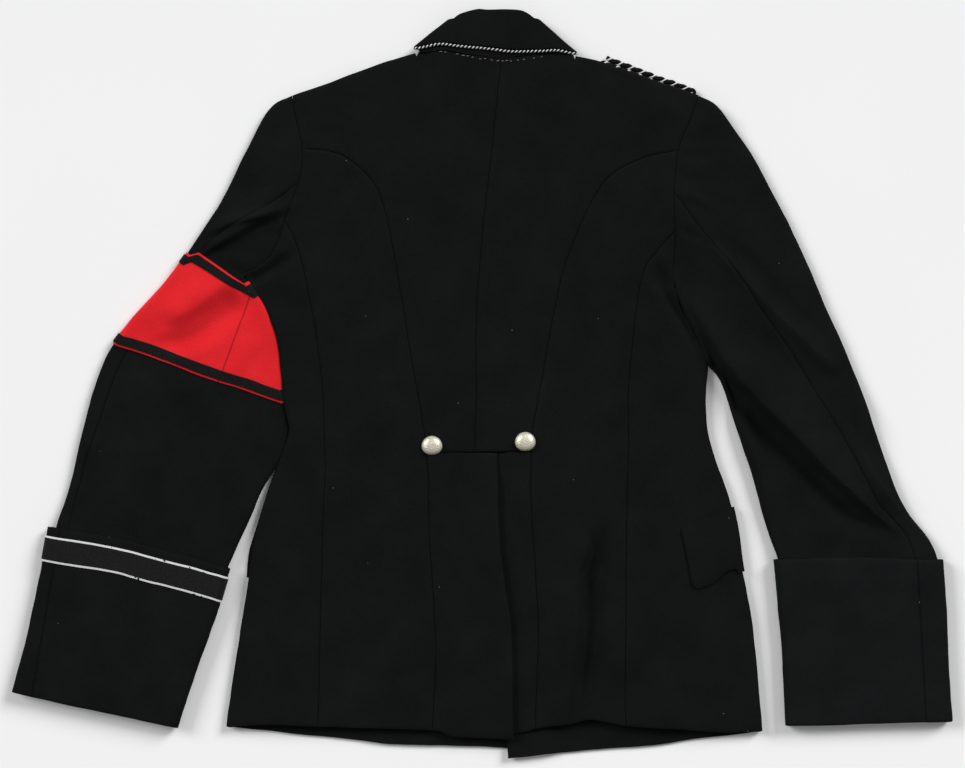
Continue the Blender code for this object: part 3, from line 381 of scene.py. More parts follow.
def level(grid, z, face=-1):
    """Points of a flat face at the given heights."""
    heights = np.broadcast_to(z, grid.shape[:-1])[..., None]
    normal = np.zeros(grid.shape[:-1] + (3,))
    normal[..., 2] = face
    return np.concatenate([grid, heights, normal], axis=-1)


def roll_from(upper, lower_z, normals, reach):
    """A rolled edge, from just past the upper rim down to the lower one, one row for each step."""
    rows = []
    middle = (upper[:, 2] + lower_z) / 2
    tall = (upper[:, 2] - lower_z) / 2
    for k in range(1, ROLL_STEPS + 1):
        angle = math.pi * k / ROLL_STEPS
        plan = upper[:, :2] + normals * (reach * math.sin(angle))
        out = np.column_stack([normals * (math.sin(angle) * tall)[:, None],
                               np.full(len(upper), math.cos(angle) * reach)])
        rows.append(np.column_stack([plan, middle + tall * math.cos(angle), unit(out)]))
    return np.array(rows)


class Sheet:
    """An open surface put together from blocks of points that share their edges."""

    def __init__(self):
        self.keys = {}
        self.points = []
        self.quads = set()

    def block(self, row, column, grid):
        for i, line in enumerate(grid):
            for j, point in enumerate(line):
                key = (row + i, column + j)
                if key not in self.keys:
                    self.keys[key] = len(self.points)
                    self.points.append(point)
        for i in range(len(grid) - 1):
            for j in range(len(grid[0]) - 1):
                self.quads.add((row + i, column + j))

    def faces(self, around=None):
        """Quads by point number; around is the column that joins back to column 0."""
        out = []
        for i, j in sorted(self.quads):
            after = 0 if around is not None and j + 1 == around else j + 1
            corners = ((i, j), (i, after), (i + 1, after), (i + 1, j))
            out.append([self.keys[c] for c in corners])
        return out


def rim_edges(faces):
    """The edges that only one face has, in that face's direction."""
    edges = {(face[k], face[(k + 1) % len(face)]) for face in faces for k in range(len(face))}
    return [(a, b) for a, b in edges if (b, a) not in edges]


RANDOM = np.random.default_rng(1940)
LATTICE = RANDOM.uniform(-1, 1, (64, 64))


def noise(points, size, shift=0.0):
    """Smooth noise from about -1 to 1 over plan points, with cells of that size."""
    p = points / size + shift
    cell = np.floor(p).astype(int)
    t = p - cell
    t = t * t * t * (t * (t * 6 - 15) + 10)
    i, j = cell[..., 0] % 64, cell[..., 1] % 64
    i1, j1 = (i + 1) % 64, (j + 1) % 64
    u, v = t[..., 0], t[..., 1]
    low = LATTICE[i, j] * (1 - u) + LATTICE[i1, j] * u
    high = LATTICE[i, j1] * (1 - u) + LATTICE[i1, j1] * u
    return low * (1 - v) + high * v


def warp(plan):
    """A small wander of every outline and seam, the same for all layers."""
    dx = 0.8 * noise(plan, 46, 3.1) + 0.35 * noise(plan, 15, 7.7)
    dy = 0.8 * noise(plan, 46, 21.3) + 0.35 * noise(plan, 15, 33.9)
    return plan + np.stack([dx, dy], axis=-1)


# Creases of the upper cloth: height, reach to the left and to the right of the line, and the line
CREASES = [
    (4.6, 7, 12, [(-194, 188), (-227, 174), (-262, 165), (-298, 150)]),
    (5.0, 7, 13, [(-194, 184), (-232, 167), (-262, 150), (-304, 128)]),
    (1.6, 8, 10, [(-192, 194), (-204, 175), (-217, 152)]),
    (-4.6, 10, 10, [(-186, 140), (-214, 120), (-240, 106), (-256, 98)]),
    (1.5, 14, 12, [(-227, 126), (-252, 126), (-274, 132)]),
    (-5.2, 20, 16, [(-239, 99), (-268, 68), (-306, 45), (-353, 34)]),
    (6.8, 16, 30, [(-250, 116), (-286, 87), (-334, 60)]),
    (1.6, 16, 18, [(-227, 56), (-250, 25), (-264, 4)]),
    (1.5, 16, 20, [(-363, 12), (-332, -19), (-310, -68)]),
    (1.3, 18, 22, [(-239, -16), (-260, -58), (-277, -119)]),
    (-1.2, 14, 14, [(-382, -16), (-365, -47), (-375, -119)]),
    (1.0, 18, 18, [(-332, -89), (-312, -130), (-322, -161)]),
    (-1.5, 6, 7, [(203, 212), (218, 210), (241, 218)]),
    (1.5, 6, 8, [(202, 196), (216, 193), (236, 183)]),
    (-1.6, 6, 6, [(203, 157), (216, 152), (232, 148)]),
    (-1.2, 7, 8, [(203, 236), (222, 233), (245, 241)]),
    (4.6, 6, 34, [(222, 157), (250, 130), (286, 89), (317, 58), (349, 29), (370, 15)]),
    (-1.6, 16, 9, [(236, 157), (270, 126), (317, 74), (366, 33)]),
    (9.5, 54, 4, [(198, 92), (236, 40), (250, 14), (271, -5), (294, -28), (315, -48), (337, -71), (356, -93),
        (375, -108), (398, -129), (421, -148), (438, -162)]),
    (-5.8, 10, 26, [(214, 56), (241, 19), (270, -19), (306, -56), (344, -91), (389, -134), (426, -165)]),
    (3.4, 16, 20, [(260, -16), (278, -68), (301, -140)]),
    (4.4, 7, 18, [(379, 16), (391, -11), (395, -41), (390, -66), (397, -89), (415, -114), (433, -132)]),
    (-1.4, 9, 7, [(401, 4), (409, -47), (414, -89)]),
    (1.0, 12, 14, [(346, -161), (379, -140), (409, -157)]),
    (-5.5, 13, 11, [(181, 128), (187, 97), (214, 56), (228, 29)]),
    (1.6, 8, 10, [(183, 184), (175, 153), (185, 126)]),
    (1.0, 16, 18, [(-157, 220), (-171, 179), (-178, 138)]),
    (1.0, 22, 26, [(39, 293), (80, 282), (142, 272)]),
    (0.9, 26, 34, [(-64, 272), (-44, 200), (-54, 107)]),
    (1.2, 20, 24, [(111, 148), (121, 66), (113, -16)]),
    (1.1, 22, 24, [(-116, 56), (-106, -16), (-114, -58)]),
    (-1.2, 16, 18, [(168, 56), (187, -16), (173, -68)]),
    (1.4, 12, 16, [(-188, 45), (-186, -37), (-196, -99)]),
    (-0.8, 16, 16, [(-44, 87), (-40, 4), (-44, -58)]),
    (-7.2, 17, 9, [(122, -140), (118, -176), (111, -202), (110, -248), (104, -302), (97, -372)]),
    (3.6, 34, 12, [(136, -150), (133, -200), (130, -260), (120, -340)]),
    (6.0, 4, 42, [(113, -135), (108, -173), (100, -198), (99, -248), (92, -302), (85, -372)]),
    (1.4, 22, 24, [(162, -140), (156, -222), (162, -325)]),
    (1.8, 8, 10, [(175, -284), (190, -316), (191, -358)]),
    (1.2, 20, 22, [(224, -222), (236, -284), (230, -346)]),
    (1.5, 18, 22, [(-202, -161), (-188, -243), (-196, -346)]),
    (-1.2, 18, 14, [(-147, -140), (-134, -243), (-141, -352)]),
    (1.2, 20, 22, [(-85, -140), (-93, -243), (-85, -356)]),
    (1.0, 14, 18, [(-21, -222), (-15, -305), (-19, -363)]),
    (0.9, 10, 12, [(64, -222), (67, -305), (76, -348)]),
    (0.9, 12, 18, [(317, -202), (379, -208), (461, -200)]),
    (1.0, 30, 30, [(327, -315), (399, -284), (461, -301)]),
    (1.0, 26, 30, [(-435, -243), (-373, -264), (-301, -274)]),
]
CREASE_LINES = [spline(row[3], 6)[0] for row in CREASES]

# Seams that draw the cloth up in small puckers: line, depth, reach, spacing along it
PUCKERS = [
    ("armhole_left", 0.55, 15, 17),
    ("armhole_right", 0.8, 20, 16),
    ("princess_left", 0.3, 11, 15),
    ("princess_right", 0.3, 11, 14),
    ("centre_back", 0.28, 10, 16),
    ("side_left", 0.3, 11, 15),
    ("side_right", 0.32, 12, 15),
    ("hind_left", 0.25, 9, 13),
    ("hind_right", 0.3, 10, 13),
    ("hem_back_left", 0.5, 22, 27),
    ("hem_back_right", 0.7, 24, 24),
]
PUCKER_LINES = [spline(LINES[row[0]], 4)[0] for row in PUCKERS]

# Swells of worn cloth: height, size, and where in the noise they start
SWELLS = ((0.75, 95, 0.3), (0.42, 41, 5.2), (0.16, 17, 11.7))


def detail(points):
    """What the worn cloth adds to its main form: swells, creases and puckers, in millimetres."""
    far = from_edge(points)
    swell = sum(tall * noise(points, size, shift) for tall, size, shift in SWELLS)
    height = smooth(far / SWELL_EASE) * swell
    height = height + folds_of(points, CREASES, CREASE_LINES, 0.25) * smooth(far / CREASE_EASE)
    for k, ((_, depth, reach, pitch), line) in enumerate(zip(PUCKERS, PUCKER_LINES)):
        away, share, _ = distance(points, line)
        length = np.sum(np.linalg.norm(np.diff(line, axis=0), axis=1))
        along = np.stack([share * length / pitch, np.full(share.shape, 9.0 * k)], axis=-1)
        height = height + depth * noise(along, 1.0, 0.5) * np.exp(-(away / reach) ** 2) * smooth(far / PUCKER_EASE)
    return height


def fine(coarse):
    """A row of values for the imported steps, spread over the finer ones."""
    count = len(coarse)
    return np.interp(np.arange((count - 1) * F + 1) / F, np.arange(count), coarse)


def edged(grid, sides, cuts=(0.16, 0.45)):
    """Extra rows and columns close to the named sides, so that an edge can turn down sharply."""
    def extra(rows, at_end):
        if at_end:
            rows = rows[::-1]
        new = [rows[0] + (rows[1] - rows[0]) * c for c in cuts]
        rows = np.concatenate([rows[:1], np.array(new), rows[1:]])
        return rows[::-1] if at_end else rows
    for side in sides:
        if side in ("top", "bottom"):
            grid = extra(grid, side == "bottom")
        else:
            turned = extra(grid.transpose(1, 0, 2), side == "last")
            grid = turned.transpose(1, 0, 2)
    return grid


def dipped(rows, sides, depth=0.9, reach=3.2):
    """Turns the named edges of a raised grid down, as at a seam or a turned hem."""
    views = {"top": rows[0], "bottom": rows[-1], "first": rows[:, 0], "last": rows[:, -1]}
    drop = np.zeros(rows.shape[:2])
    for side in sides:
        rim = views[side][::2, :2]
        away, _, _ = distance(rows[..., :2], rim)
        drop = np.maximum(drop, depth * (1 - np.clip(away / reach, 0, 1)) ** 2)
    rows = rows.copy()
    rows[..., 2] -= drop
    return rows


def with_detail(rows, share=1.0):
    rows = rows.copy()
    rows[..., 2] += detail(rows[..., :2]) * share
    return rows


def add_piece(name, verts, faces, look, node):
    """A smooth mesh from points in millimetres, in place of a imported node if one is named."""
    mesh = bpy.data.meshes.new(name)
    mesh.from_pydata((verts * MM).tolist(), [], faces)
    mesh.update()
    mesh.shade_smooth()
    mesh.materials.append(look)
    piece = bpy.data.objects.new(name, mesh)
    bpy.context.scene.collection.objects.link(piece)
    if node:
        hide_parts(node)
    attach(piece, "root")
    return piece


def build(name, blocks, look=None, wall=WALL, ring=False):
    """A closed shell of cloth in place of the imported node, from its outer face: blocks of row, column and points."""
    sheet = Sheet()
    for row, column, grid in blocks:
        sheet.block(row, column, grid)
    around = blocks[0][2].shape[1] if ring else None
    if ring:
        sheet.quads |= {(i, around - 1) for i in range(len(blocks[0][2]) - 1)}
    rows = np.array(sheet.points)
    faces = sheet.faces(around)
    corners = rows[np.array(faces[len(faces) // 2])]
    facing = np.cross(corners[1, :3] - corners[0, :3], corners[2, :3] - corners[0, :3])
    if np.dot(facing, corners[:, 3:].sum(axis=0)) < 0:
        faces = [face[::-1] for face in faces]
    count = len(rows)
    outer = rows[:, :3].copy()
    inner = outer - rows[:, 3:6] * wall
    for face, lowest in ((outer, 0.0), (inner, INNER_FLOOR)):
        face[:, :2] = warp(face[:, :2])
        face[:, 2] = np.maximum(face[:, 2], lowest)
    cut = [[b, a, a + count, b + count] for a, b in sorted(rim_edges(faces))]
    inside = [[k + count for k in face[::-1]] for face in faces]
    piece = add_piece(name + "_cloth", np.vstack([outer, inner]), faces + inside + cut, look or WOOL, name)
    mesh = piece.data
    mesh.set_sharp_from_angle(angle=math.radians(60))
    keys = np.array(sorted(sheet.keys, key=sheet.keys.get), float)
    uv = mesh.uv_layers.new(name="UVMap")
    loops = np.zeros(len(mesh.loops), int)
    mesh.loops.foreach_get("vertex_index", loops)
    low, high = keys.min(axis=0), keys.max(axis=0)
    share = (keys - low) / np.maximum(high - low, 1)
    uv.data.foreach_set("uv", share[loops % count][:, ::-1].ravel())


def rolled(upper, roll, lower):
    """Blocks of an upper side, the rolled edge at its last column, and the underside that follows."""
    last = upper.shape[1] - 1
    edge = np.concatenate([upper[:, -1][None], roll]).transpose(1, 0, 2)
    return [(0, 0, upper), (0, last, edge), (0, last + ROLL_STEPS, lower)]


def pulled(line, end, point):
    """The line with one end moved to a point, and the samples near it eased along."""
    weight = np.clip(1 - np.arange(len(line)) / F / 0.4, 0, 1)[:, None]
    if end == -1:
        weight = weight[::-1]
    return line + weight * (point - line[end])


def columns(a, b):
    """Columns after a up to b."""
    return np.stack([a + (b - a) * k / F for k in range(1, F + 1)], axis=1)


def armhole(side):
    return line_of("armhole_" + side, (0, 2, 3, 4, 6), ARMHOLE_STEPS)


def tip_normal(side):
    shoulder = side_normals(line_of("shoulder_" + side, (0, 3), (5,)), (0, 0))[0]
    sleeve = side_normals(line_of("sleeve_outer_" + side, (0, 9), (11,)), (0, 0))[0]
    return unit(shoulder + sleeve)


def soft_start(normals, first):
    """Normals that turn from a shared one to the line's own."""
    w = smooth(np.arange(len(normals)) / F)[:, None]
    return unit(first * (1 - w) + normals * w)


def shoulder_line(side, steps):
    line = line_of("shoulder_" + side, (0, 3), (steps,))
    return line, soft_start(side_normals(line, (0, 0)), tip_normal(side))


def neck_part(name, side, steps):
    stops = (0, 3) if side == "left" else (3, 6)
    line = line_of(name, stops, (steps,))
    return line if side == "left" else line[::-1]


def hem_back(side, start, end, steps):
    a, b = HEM_STOPS[side][start], HEM_STOPS[side][end]
    line = line_of("hem_back_" + side, (min(a, b), max(a, b)), (steps,))
    return line if a < b else line[::-1]


def hollow(points):
    """Where the underside lifts a little off the surface that it lies on."""
    return 0.9 * smooth(noise(points, 60, 2.2) * 1.3) + 0.5 * smooth(noise(points, 23, 8.8) * 1.4)


def make_back(side):
    shoulder, normals = shoulder_line(side, 5)
    neck = neck_part("neck_back", side, 3)
    rim = shoulder - normals * ROLL
    top = np.vstack([rim, neck[1:]])
    hole = pulled(armhole(side)[:ARMHOLE_STEPS[0] * F + 1], 0, rim[0])
    princess = line_of("princess_" + side, (0, 6), (BODY_STEPS[0],))
    outer = np.vstack([hole, princess[1:]])
    centre = line_of("centre_back", (0, 5), (ARMHOLE_STEPS[0] + BODY_STEPS[0],))
    waist = np.linspace(princess[-1], centre[-1], len(top))
    sides = ("first", "last", "bottom")
    plan = edged(drawn_in(patch(top, waist, outer, centre), sides), sides)
    upper = dipped(with_detail(raised(plan, top_at)), sides)
    normals = edged(normals[None], ("first",))[0]
    edge = upper[0, :len(normals)]
    folded = roll_from(edge, FRONT_UNDER[side](edge[:, :2]), normals, ROLL)
    build("back_" + side, [(0, 0, upper), (-ROLL_STEPS, 0, np.vstack([folded[::-1], edge[None]]))])


def make_side_back(side):
    first = ARMHOLE_STEPS[0] * F
    top = armhole(side)[first:first + (ARMHOLE_STEPS[1] + ARMHOLE_STEPS[2]) * F + 1]
    seam = line_of("princess_" + side, (0, 6, 9), BODY_STEPS)
    other = line_of("side_" + side, (0, 4, 7), BODY_STEPS)
    hem = hem_back(side, "princess", "side", ARMHOLE_STEPS[1] + ARMHOLE_STEPS[2])
    sides = ("top", "first", "last")
    plan = edged(drawn_in(patch(top, hem, seam, other), sides), sides + ("bottom",))
    build("side_back_" + side, [(0, 0, dipped(with_detail(raised(plan, top_at)), sides + ("bottom",)))])


def make_skirt(side):
    seam = line_of("princess_" + side, (6, 9), (BODY_STEPS[1],))
    vent = line_of("vent", (0, 3), (BODY_STEPS[1],))
    sides = ("top", "first")
    turned = sides + ("bottom", "last")
    if side == "left":
        hem = hem_back("left", "princess", "vent", 4)

        def height(points):
            away, _, _ = distance(points, vent[::6])
            along = smooth((VENT_TOP - points[..., 1]) / VENT_EASE)
            return top_at(points) + VENT_LIFT * (1 - smooth(away / VENT_FADE)) * along
    else:
        lap = vent.copy()
        vent = vent - np.array((UNDERLAP, 0))
        hem = np.linspace(seam[-1], vent[-1], 4 * F + 1)
        turned = sides + ("bottom",)

        def height(points):
            past = points[..., 0] - across_at(lap, points[..., 1])
            return top_at(points) - VENT_UNDER * (1 - smooth((past - UNDERLAP_FROM) / OVER_FADE))
    top = np.linspace(seam[0], vent[0], 4 * F + 1)
    plan = edged(drawn_in(patch(top, hem, seam, vent), sides), turned)
    build("skirt_" + side, [(0, 0, dipped(with_detail(raised(plan, height)), turned))])


def edge_lift(side, points):
    return lift_of(points, "sleeve_below") if side == "left" else np.zeros(points.shape[:-1])


def closing_lines(side, rows):
    edge = line_of("front_edge_" + side, (0, 1), (rows,))
    foot, rise = CLOSING_COLUMNS[side]
    if side == "left":
        return edge - (foot, 0), edge - (rise, 0), edge
    lap = np.column_stack([across_at(line_of("front_edge_left", (0, 1), (rows,)), edge[:, 1]), edge[:, 1]])
    return lap + (foot, 0), lap + (rise, 0), edge


def neck_at(neck, x):
    order = np.argsort(neck[:, 0])
    return np.column_stack([x, np.interp(x, neck[order, 0], neck[order, 1])])


def make_front(side):
    under = FRONT_UNDER[side]
    rows = sum(BODY_STEPS) * F
    hole = armhole(side)
    high_rows = len(hole) - 1
    stops = (0, 4, 9) if side == "left" else (0, 6, 10)
    edge = line_of("edge_" + side, stops, BODY_STEPS)
    normals = side_normals(edge, (0, 0))
    rim = edge - normals * ROLL
    seam = line_of("side_" + side, (0, 4, 7), BODY_STEPS)
    strip_top = pulled(hole[sum(ARMHOLE_STEPS[:3]) * F:], -1, rim[0])
    hem = pulled(hem_back(side, "side", "edge", ARMHOLE_STEPS[3]), -1, rim[-1])
    strip = drawn_in(patch(strip_top, hem, seam, rim), ("top", "first"))
    strip = edged(strip, ("top", "first", "bottom"))
    upper = dipped(with_detail(raised(strip, lambda p: top_at(p) + edge_lift(side, p))), ("top", "first", "bottom"))
    foot, rise, closing = closing_lines(side, sum(BODY_STEPS) + sum(ARMHOLE_STEPS))
    bottom = np.array(LINES["hem_front_" + side], float)
    order = np.argsort(bottom[:, 0])
    for line in (foot, rise, closing):
        end = np.interp(line[-1, 0], bottom[order, 0], bottom[order, 1])
        line[high_rows:, 1] = np.linspace(line[high_rows, 1], end, rows + 1)
    hem = np.linspace(rim[-1], foot[-1], 4 * F + 1)
    hem[:, 1] = np.interp(hem[:, 0], bottom[order, 0], bottom[order, 1])
    hem = pulled(hem, 0, rim[-1])
    across = np.linspace(rim[0], foot[high_rows], 4 * F + 1)
    low = np.concatenate([patch(across, hem, rim, foot[high_rows:]), columns(foot[high_rows:], rise[high_rows:]),
                          columns(rise[high_rows:], closing[high_rows:])], axis=1)
    shoulder, shoulder_n = shoulder_line(side, 2)
    shoulder = shoulder - shoulder_n * (ROLL + 1.0)
    neck = neck_part("neck_front", side, 12)
    high_hole = pulled(pulled(hole, 0, shoulder[0]), -1, rim[0])
    for line in (foot, rise):
        line[:high_rows + 1] = np.linspace(neck_at(neck, line[:1, 0])[0], line[high_rows], high_rows + 1)
    xs = np.linspace(shoulder[-1, 0], foot[0, 0], 2 * F + 1)
    high_top = np.vstack([shoulder, pulled(neck_at(neck, xs), 0, shoulder[-1])[1:]])
    part = slice(0, high_rows + 1)
    high = np.concatenate([patch(high_top, across, high_hole, foot[part]), columns(foot[part], rise[part]),
                           columns(rise[part], closing[part])], axis=1)
    high = drawn_in(high, ("first",))
    high[-1] = low[0]

    def height(points):
        return under(points) + edge_lift(side, points) + hollow(points) * smooth(from_edge(points) / HOLLOW_EASE)
    low = edged(low, ("top", "bottom"))
    normals = edged(normals[:, None], ("top", "bottom"))[:, 0]
    lower = raised(low, height, -1)
    roll = roll_from(upper[:, -1], lower[:, 0, 2], normals, ROLL)
    roll[-1] = lower[:, 0]
    shoulder_part = (-high_rows, upper.shape[1] - 1 + ROLL_STEPS, raised(high, height, -1))
    build("front_" + side, rolled(upper, roll, lower) + [shoulder_part])


def beside(name, count, apart):
    edge = np.array(LINES[name], float)
    return edge[:count] + side_normals(edge, (0, 0))[:count] * apart


def sleeve_lines(side):
    if side == "left":
        inner = np.vstack([beside("edge_left", 6, SIDE_CLEAR[side]), LINES["sleeve_inner_left"]])
        outer_stops, inner_stops, hind_stops = (0, 4, 6, 9, 11), (0, 1, 3, 8, 11), (0, 3, 4, 7, 8)
        steps = (4, 4, 5, 3)
    else:
        inner = np.vstack([beside("edge_right", 4, SIDE_CLEAR[side]), LINES["sleeve_inner_right"]])
        outer_stops, inner_stops, hind_stops = (0, 9, 11), (0, 8, 11), (0, 6, 7)
        steps = (11, 3)
    outer = line_of("sleeve_outer_" + side, outer_stops, steps)
    hind = line_of("hind_" + side, hind_stops, steps)
    return outer, stretch(inner, inner_stops, steps), hind, steps


def sleeve_lift(side, steps):
    cuff = WALL + 1.5 * LAYER_GAP
    if side == "left":
        band = BAND_WALL + TAPE_WALL + 2 * LAYER_GAP
        cuff += RIBBON_WALL + LAYER_GAP
        lift = [0] * (steps[0] - 1) + [band] * (steps[1] + 2) + [0] * (steps[2] - 1) + [cuff] * (steps[3] + 1)
    else:
        lift = [0] * steps[0] + [cuff] * (steps[1] + 1)
    return fine(np.array(lift, float))


def lengths(top, first, last, cut):
    """Half a sleeve's plan, in two lengths with a straight row at the cut, if there is one."""
    bottom = np.linspace(first[-1], last[-1], len(top))
    if not cut:
        return patch(top, bottom, first, last)
    row = np.linspace(first[cut], last[cut], len(top))
    upper, lower = patch(top, row, first[:cut + 1], last[:cut + 1]), patch(row, bottom, first[cut:], last[cut:])
    return np.concatenate([upper, lower[1:]])


def sleeve_grids(side, seams=True):
    """The sleeve's upper side on both sides of the hind seam, its two rolls and its underside."""
    outer, inner, hind, steps = sleeve_lines(side)
    middle = len(outer) // 2
    out_n = soft_start(side_normals(outer, inner[middle]), tip_normal(side))
    in_n = side_normals(inner, outer[middle])
    outer_rim = outer - out_n * ROLL
    inner_rim = inner - in_n * ROLL
    split = (ARMHOLE_STEPS[0] + ARMHOLE_STEPS[1]) * F
    hole = pulled(pulled(armhole(side), 0, outer_rim[0]), -1, inner_rim[0])
    lift = sleeve_lift(side, steps)
    inside = fine(np.array([0] * (sum(steps) - steps[-1]) + [1] * (steps[-1] + 1), float))[:, None]
    cut = steps[0] * F if side == "left" else 0
    front_top = lengths(hole[:split + 1], outer_rim, hind, cut)
    back_top = lengths(hole[split:], hind, inner_rim, cut)
    under = np.concatenate([back_top[:, ::-1], front_top[:, -2::-1]], axis=1)
    fore = 3 * F

    def upper(plan, seam):
        if seams:
            plan = edged(plan, (seam,))
        points = with_detail(raised(plan, top_at))
        if seams:
            points = dipped(points, ("top", seam))
        w = smooth(inside)
        points[..., 2] = points[..., 2] * (1 - w) + (CUFF_TOP - WALL - 3 * LAYER_GAP) * w
        points[..., 3:] = unit(points[..., 3:] * (1 - w[..., None]) + np.array((0, 0, 1)) * w[..., None])
        return points

    def lower(plan):
        free = 1 - smooth(lift[:, None] / 1.5)
        return level(plan, lift[:, None] + hollow(plan) * smooth(from_edge(plan) / HOLLOW_EASE) * free)
    out = {"front_top": upper(drawn_in(front_top, ("top", "last")), "last"),
           "back_top": upper(drawn_in(back_top, ("top", "first")), "first"),
           "back_under": lower(drawn_in(under[:, :fore + 1].copy(), ("top", "last"))),
           "front_under": lower(drawn_in(under[:, fore:].copy(), ("top", "first")))}
    out["inner_roll"] = roll_from(out["back_top"][:, -1], lift, in_n, ROLL)
    out["outer_roll"] = roll_from(out["front_top"][:, 0], lift, out_n, ROLL)
    out["back_under"][:, 0] = out["inner_roll"][-1]
    out["front_under"][:, -1] = out["outer_roll"][-1]
    return out, steps


def make_sleeve(side):
    parts, _ = sleeve_grids(side)
    for name, top, roll, under in (("top_sleeve", "front_top", "outer_roll", "front_under"),
                                   ("under_sleeve", "back_top", "inner_roll", "back_under")):
        turned = slice(None, None, 1 if name == "under_sleeve" else -1)
        build(name + "_" + side, rolled(parts[top][:, turned], parts[roll], parts[under][:, turned]))


def ring_rows(side):
    parts, steps = sleeve_grids(side, seams=False)
    rows = []
    for r in range(parts["front_top"].shape[0]):
        seam = (parts["front_top"][r, -1] + parts["back_top"][r, 0]) / 2
        fore = (parts["back_under"][r, -1] + parts["front_under"][r, 0]) / 2
        rows.append(np.vstack([parts["front_top"][r, :-1], seam, parts["back_top"][r, 1:],
                               parts["inner_roll"][:-1, r], parts["back_under"][r, :-1], fore,
                               parts["front_under"][r, 1:], parts["outer_roll"][:-1, r][::-1]]))
    return np.array(rows), steps


def moved_out(rows, amount):
    out = rows.copy()
    out[..., :3] += out[..., 3:] * amount
    return out


def between_rows(part, share):
    place = share * (len(part) - 1)
    k = min(int(place), len(part) - 2)
    return part[k] + (part[k + 1] - part[k]) * (place - k)


def between_columns(part, shares):
    """One point in each column of the rows, at that column's own share."""
    place = np.clip(shares, 0, 1) * (len(part) - 1)
    k = np.minimum(place.astype(int), len(part) - 2)
    column = np.arange(part.shape[1])
    return part[k, column] + (part[k + 1, column] - part[k, column]) * (place - k)[:, None]


def make_armband():
    rows, steps = ring_rows("left")
    part = rows[steps[0] * F:(steps[0] + steps[1]) * F + 1]
    band_out = LAYER_GAP + BAND_WALL
    shares = np.concatenate([[0, 0.006, 0.02], np.linspace(0.04, 0.96, 5 * F), [0.98, 0.994, 1]])
    inset = BAND_INSET / steps[1]
    band = np.array([between_rows(part, inset + (1 - inset) * share) for share in shares])
    band = moved_out(band, band_out)
    turned = np.interp(shares, [0, 0.012, 0.988, 1], [1, 0, 0, 1]) ** 2
    band[..., :3] -= band[..., 3:] * (0.45 * turned)[:, None, None]
    build("armband", [(0, 0, band)], RED, BAND_WALL, ring=True)
    slant = 1 + TAPE_SLANT * smooth((part[0, :, 0] + 288) / 40)
    for name, start, wide in (("armband_tape_top", TAPE_MARGIN, slant),
                              ("armband_tape_bottom", 1 - TAPE_MARGIN - TAPE_WIDTH, np.ones(len(slant)))):
        tape = np.array([between_columns(part, inset + (start + TAPE_WIDTH * k / 6) * wide) for k in range(7)])
        tape = moved_out(tape, band_out + LAYER_GAP + TAPE_WALL)
        tape[[0, -1], :, :3] -= tape[[0, -1], :, 3:] * 0.25
        build(name, [(0, 0, tape)], TAPE, TAPE_WALL, ring=True)


def cuff_ring(side, share, lift):
    outer, _ = spline(LINES["cuff_outer_" + side])
    inner, _ = spline(LINES["cuff_inner_" + side])
    outer, inner = resample(outer, CUFF_STEPS), resample(inner, CUFF_STEPS)
    out_n = side_normals(outer, inner[CUFF_STEPS // 2])
    in_n = side_normals(inner, outer[CUFF_STEPS // 2])
    at = share * CUFF_STEPS
    start, out_n, end, in_n = (np.array([[np.interp(at, np.arange(CUFF_STEPS + 1), a[:, c]) for c in range(2)]])
                               for a in (outer, out_n, inner, in_n))
    start = start - out_n * CUFF_ROLL
    end = end - in_n * CUFF_ROLL
    u = np.linspace(0, 1, (CUFF_COLUMNS - 1) * F + 1)[:, None]
    plan = (1 - u) * start + u * end + np.array(CUFF_BOW[side]) * (1 - share) * np.sin(math.pi * u)
    turned = RIM_TURN * sum((1 - np.clip(t / RIM_SHARE, 0, 1)) ** 2 for t in (share, 1 - share))
    near = smooth(u[:, 0] / 0.06) * smooth((1 - u[:, 0]) / 0.06)

    def height(points):
        return CUFF_TOP + folds_at(points) * CUFF_FOLD_SHARE
    top = raised(plan, height)
    top[:, 2] += near * detail(plan) * 0.75 - turned
    low = level(plan[::-1], lift)
    inner_roll = roll_from(top[-1:], lift, in_n, CUFF_ROLL)[:-1, 0]
    outer_roll = roll_from(top[:1], lift, out_n, CUFF_ROLL)[:-1, 0][::-1]
    return np.vstack([top, inner_roll, low, outer_roll])


def make_cuff(side):
    held = RIBBON_WALL + LAYER_GAP if side == "left" else 0
    shares = np.concatenate([[0, 0.005, 0.014], np.linspace(0.028, 0.972, 7 * F), [0.986, 0.995, 1]])
    rows = np.array([cuff_ring(side, share, held) for share in shares])
    build("cuff_" + side, [(0, 0, rows)], CUFF_WOOL[side], WALL, ring=True)
    if side == "left":
        band = np.array([cuff_ring(side, share, held) for share in np.linspace(*RIBBON_SHARES, 13)])
        band = moved_out(band, held)
        band[[0, -1], :, :3] -= band[[0, -1], :, 3:] * 0.3
        build("cuff_ribbon", [(0, 0, band)], RIBBON, RIBBON_WALL, ring=True)


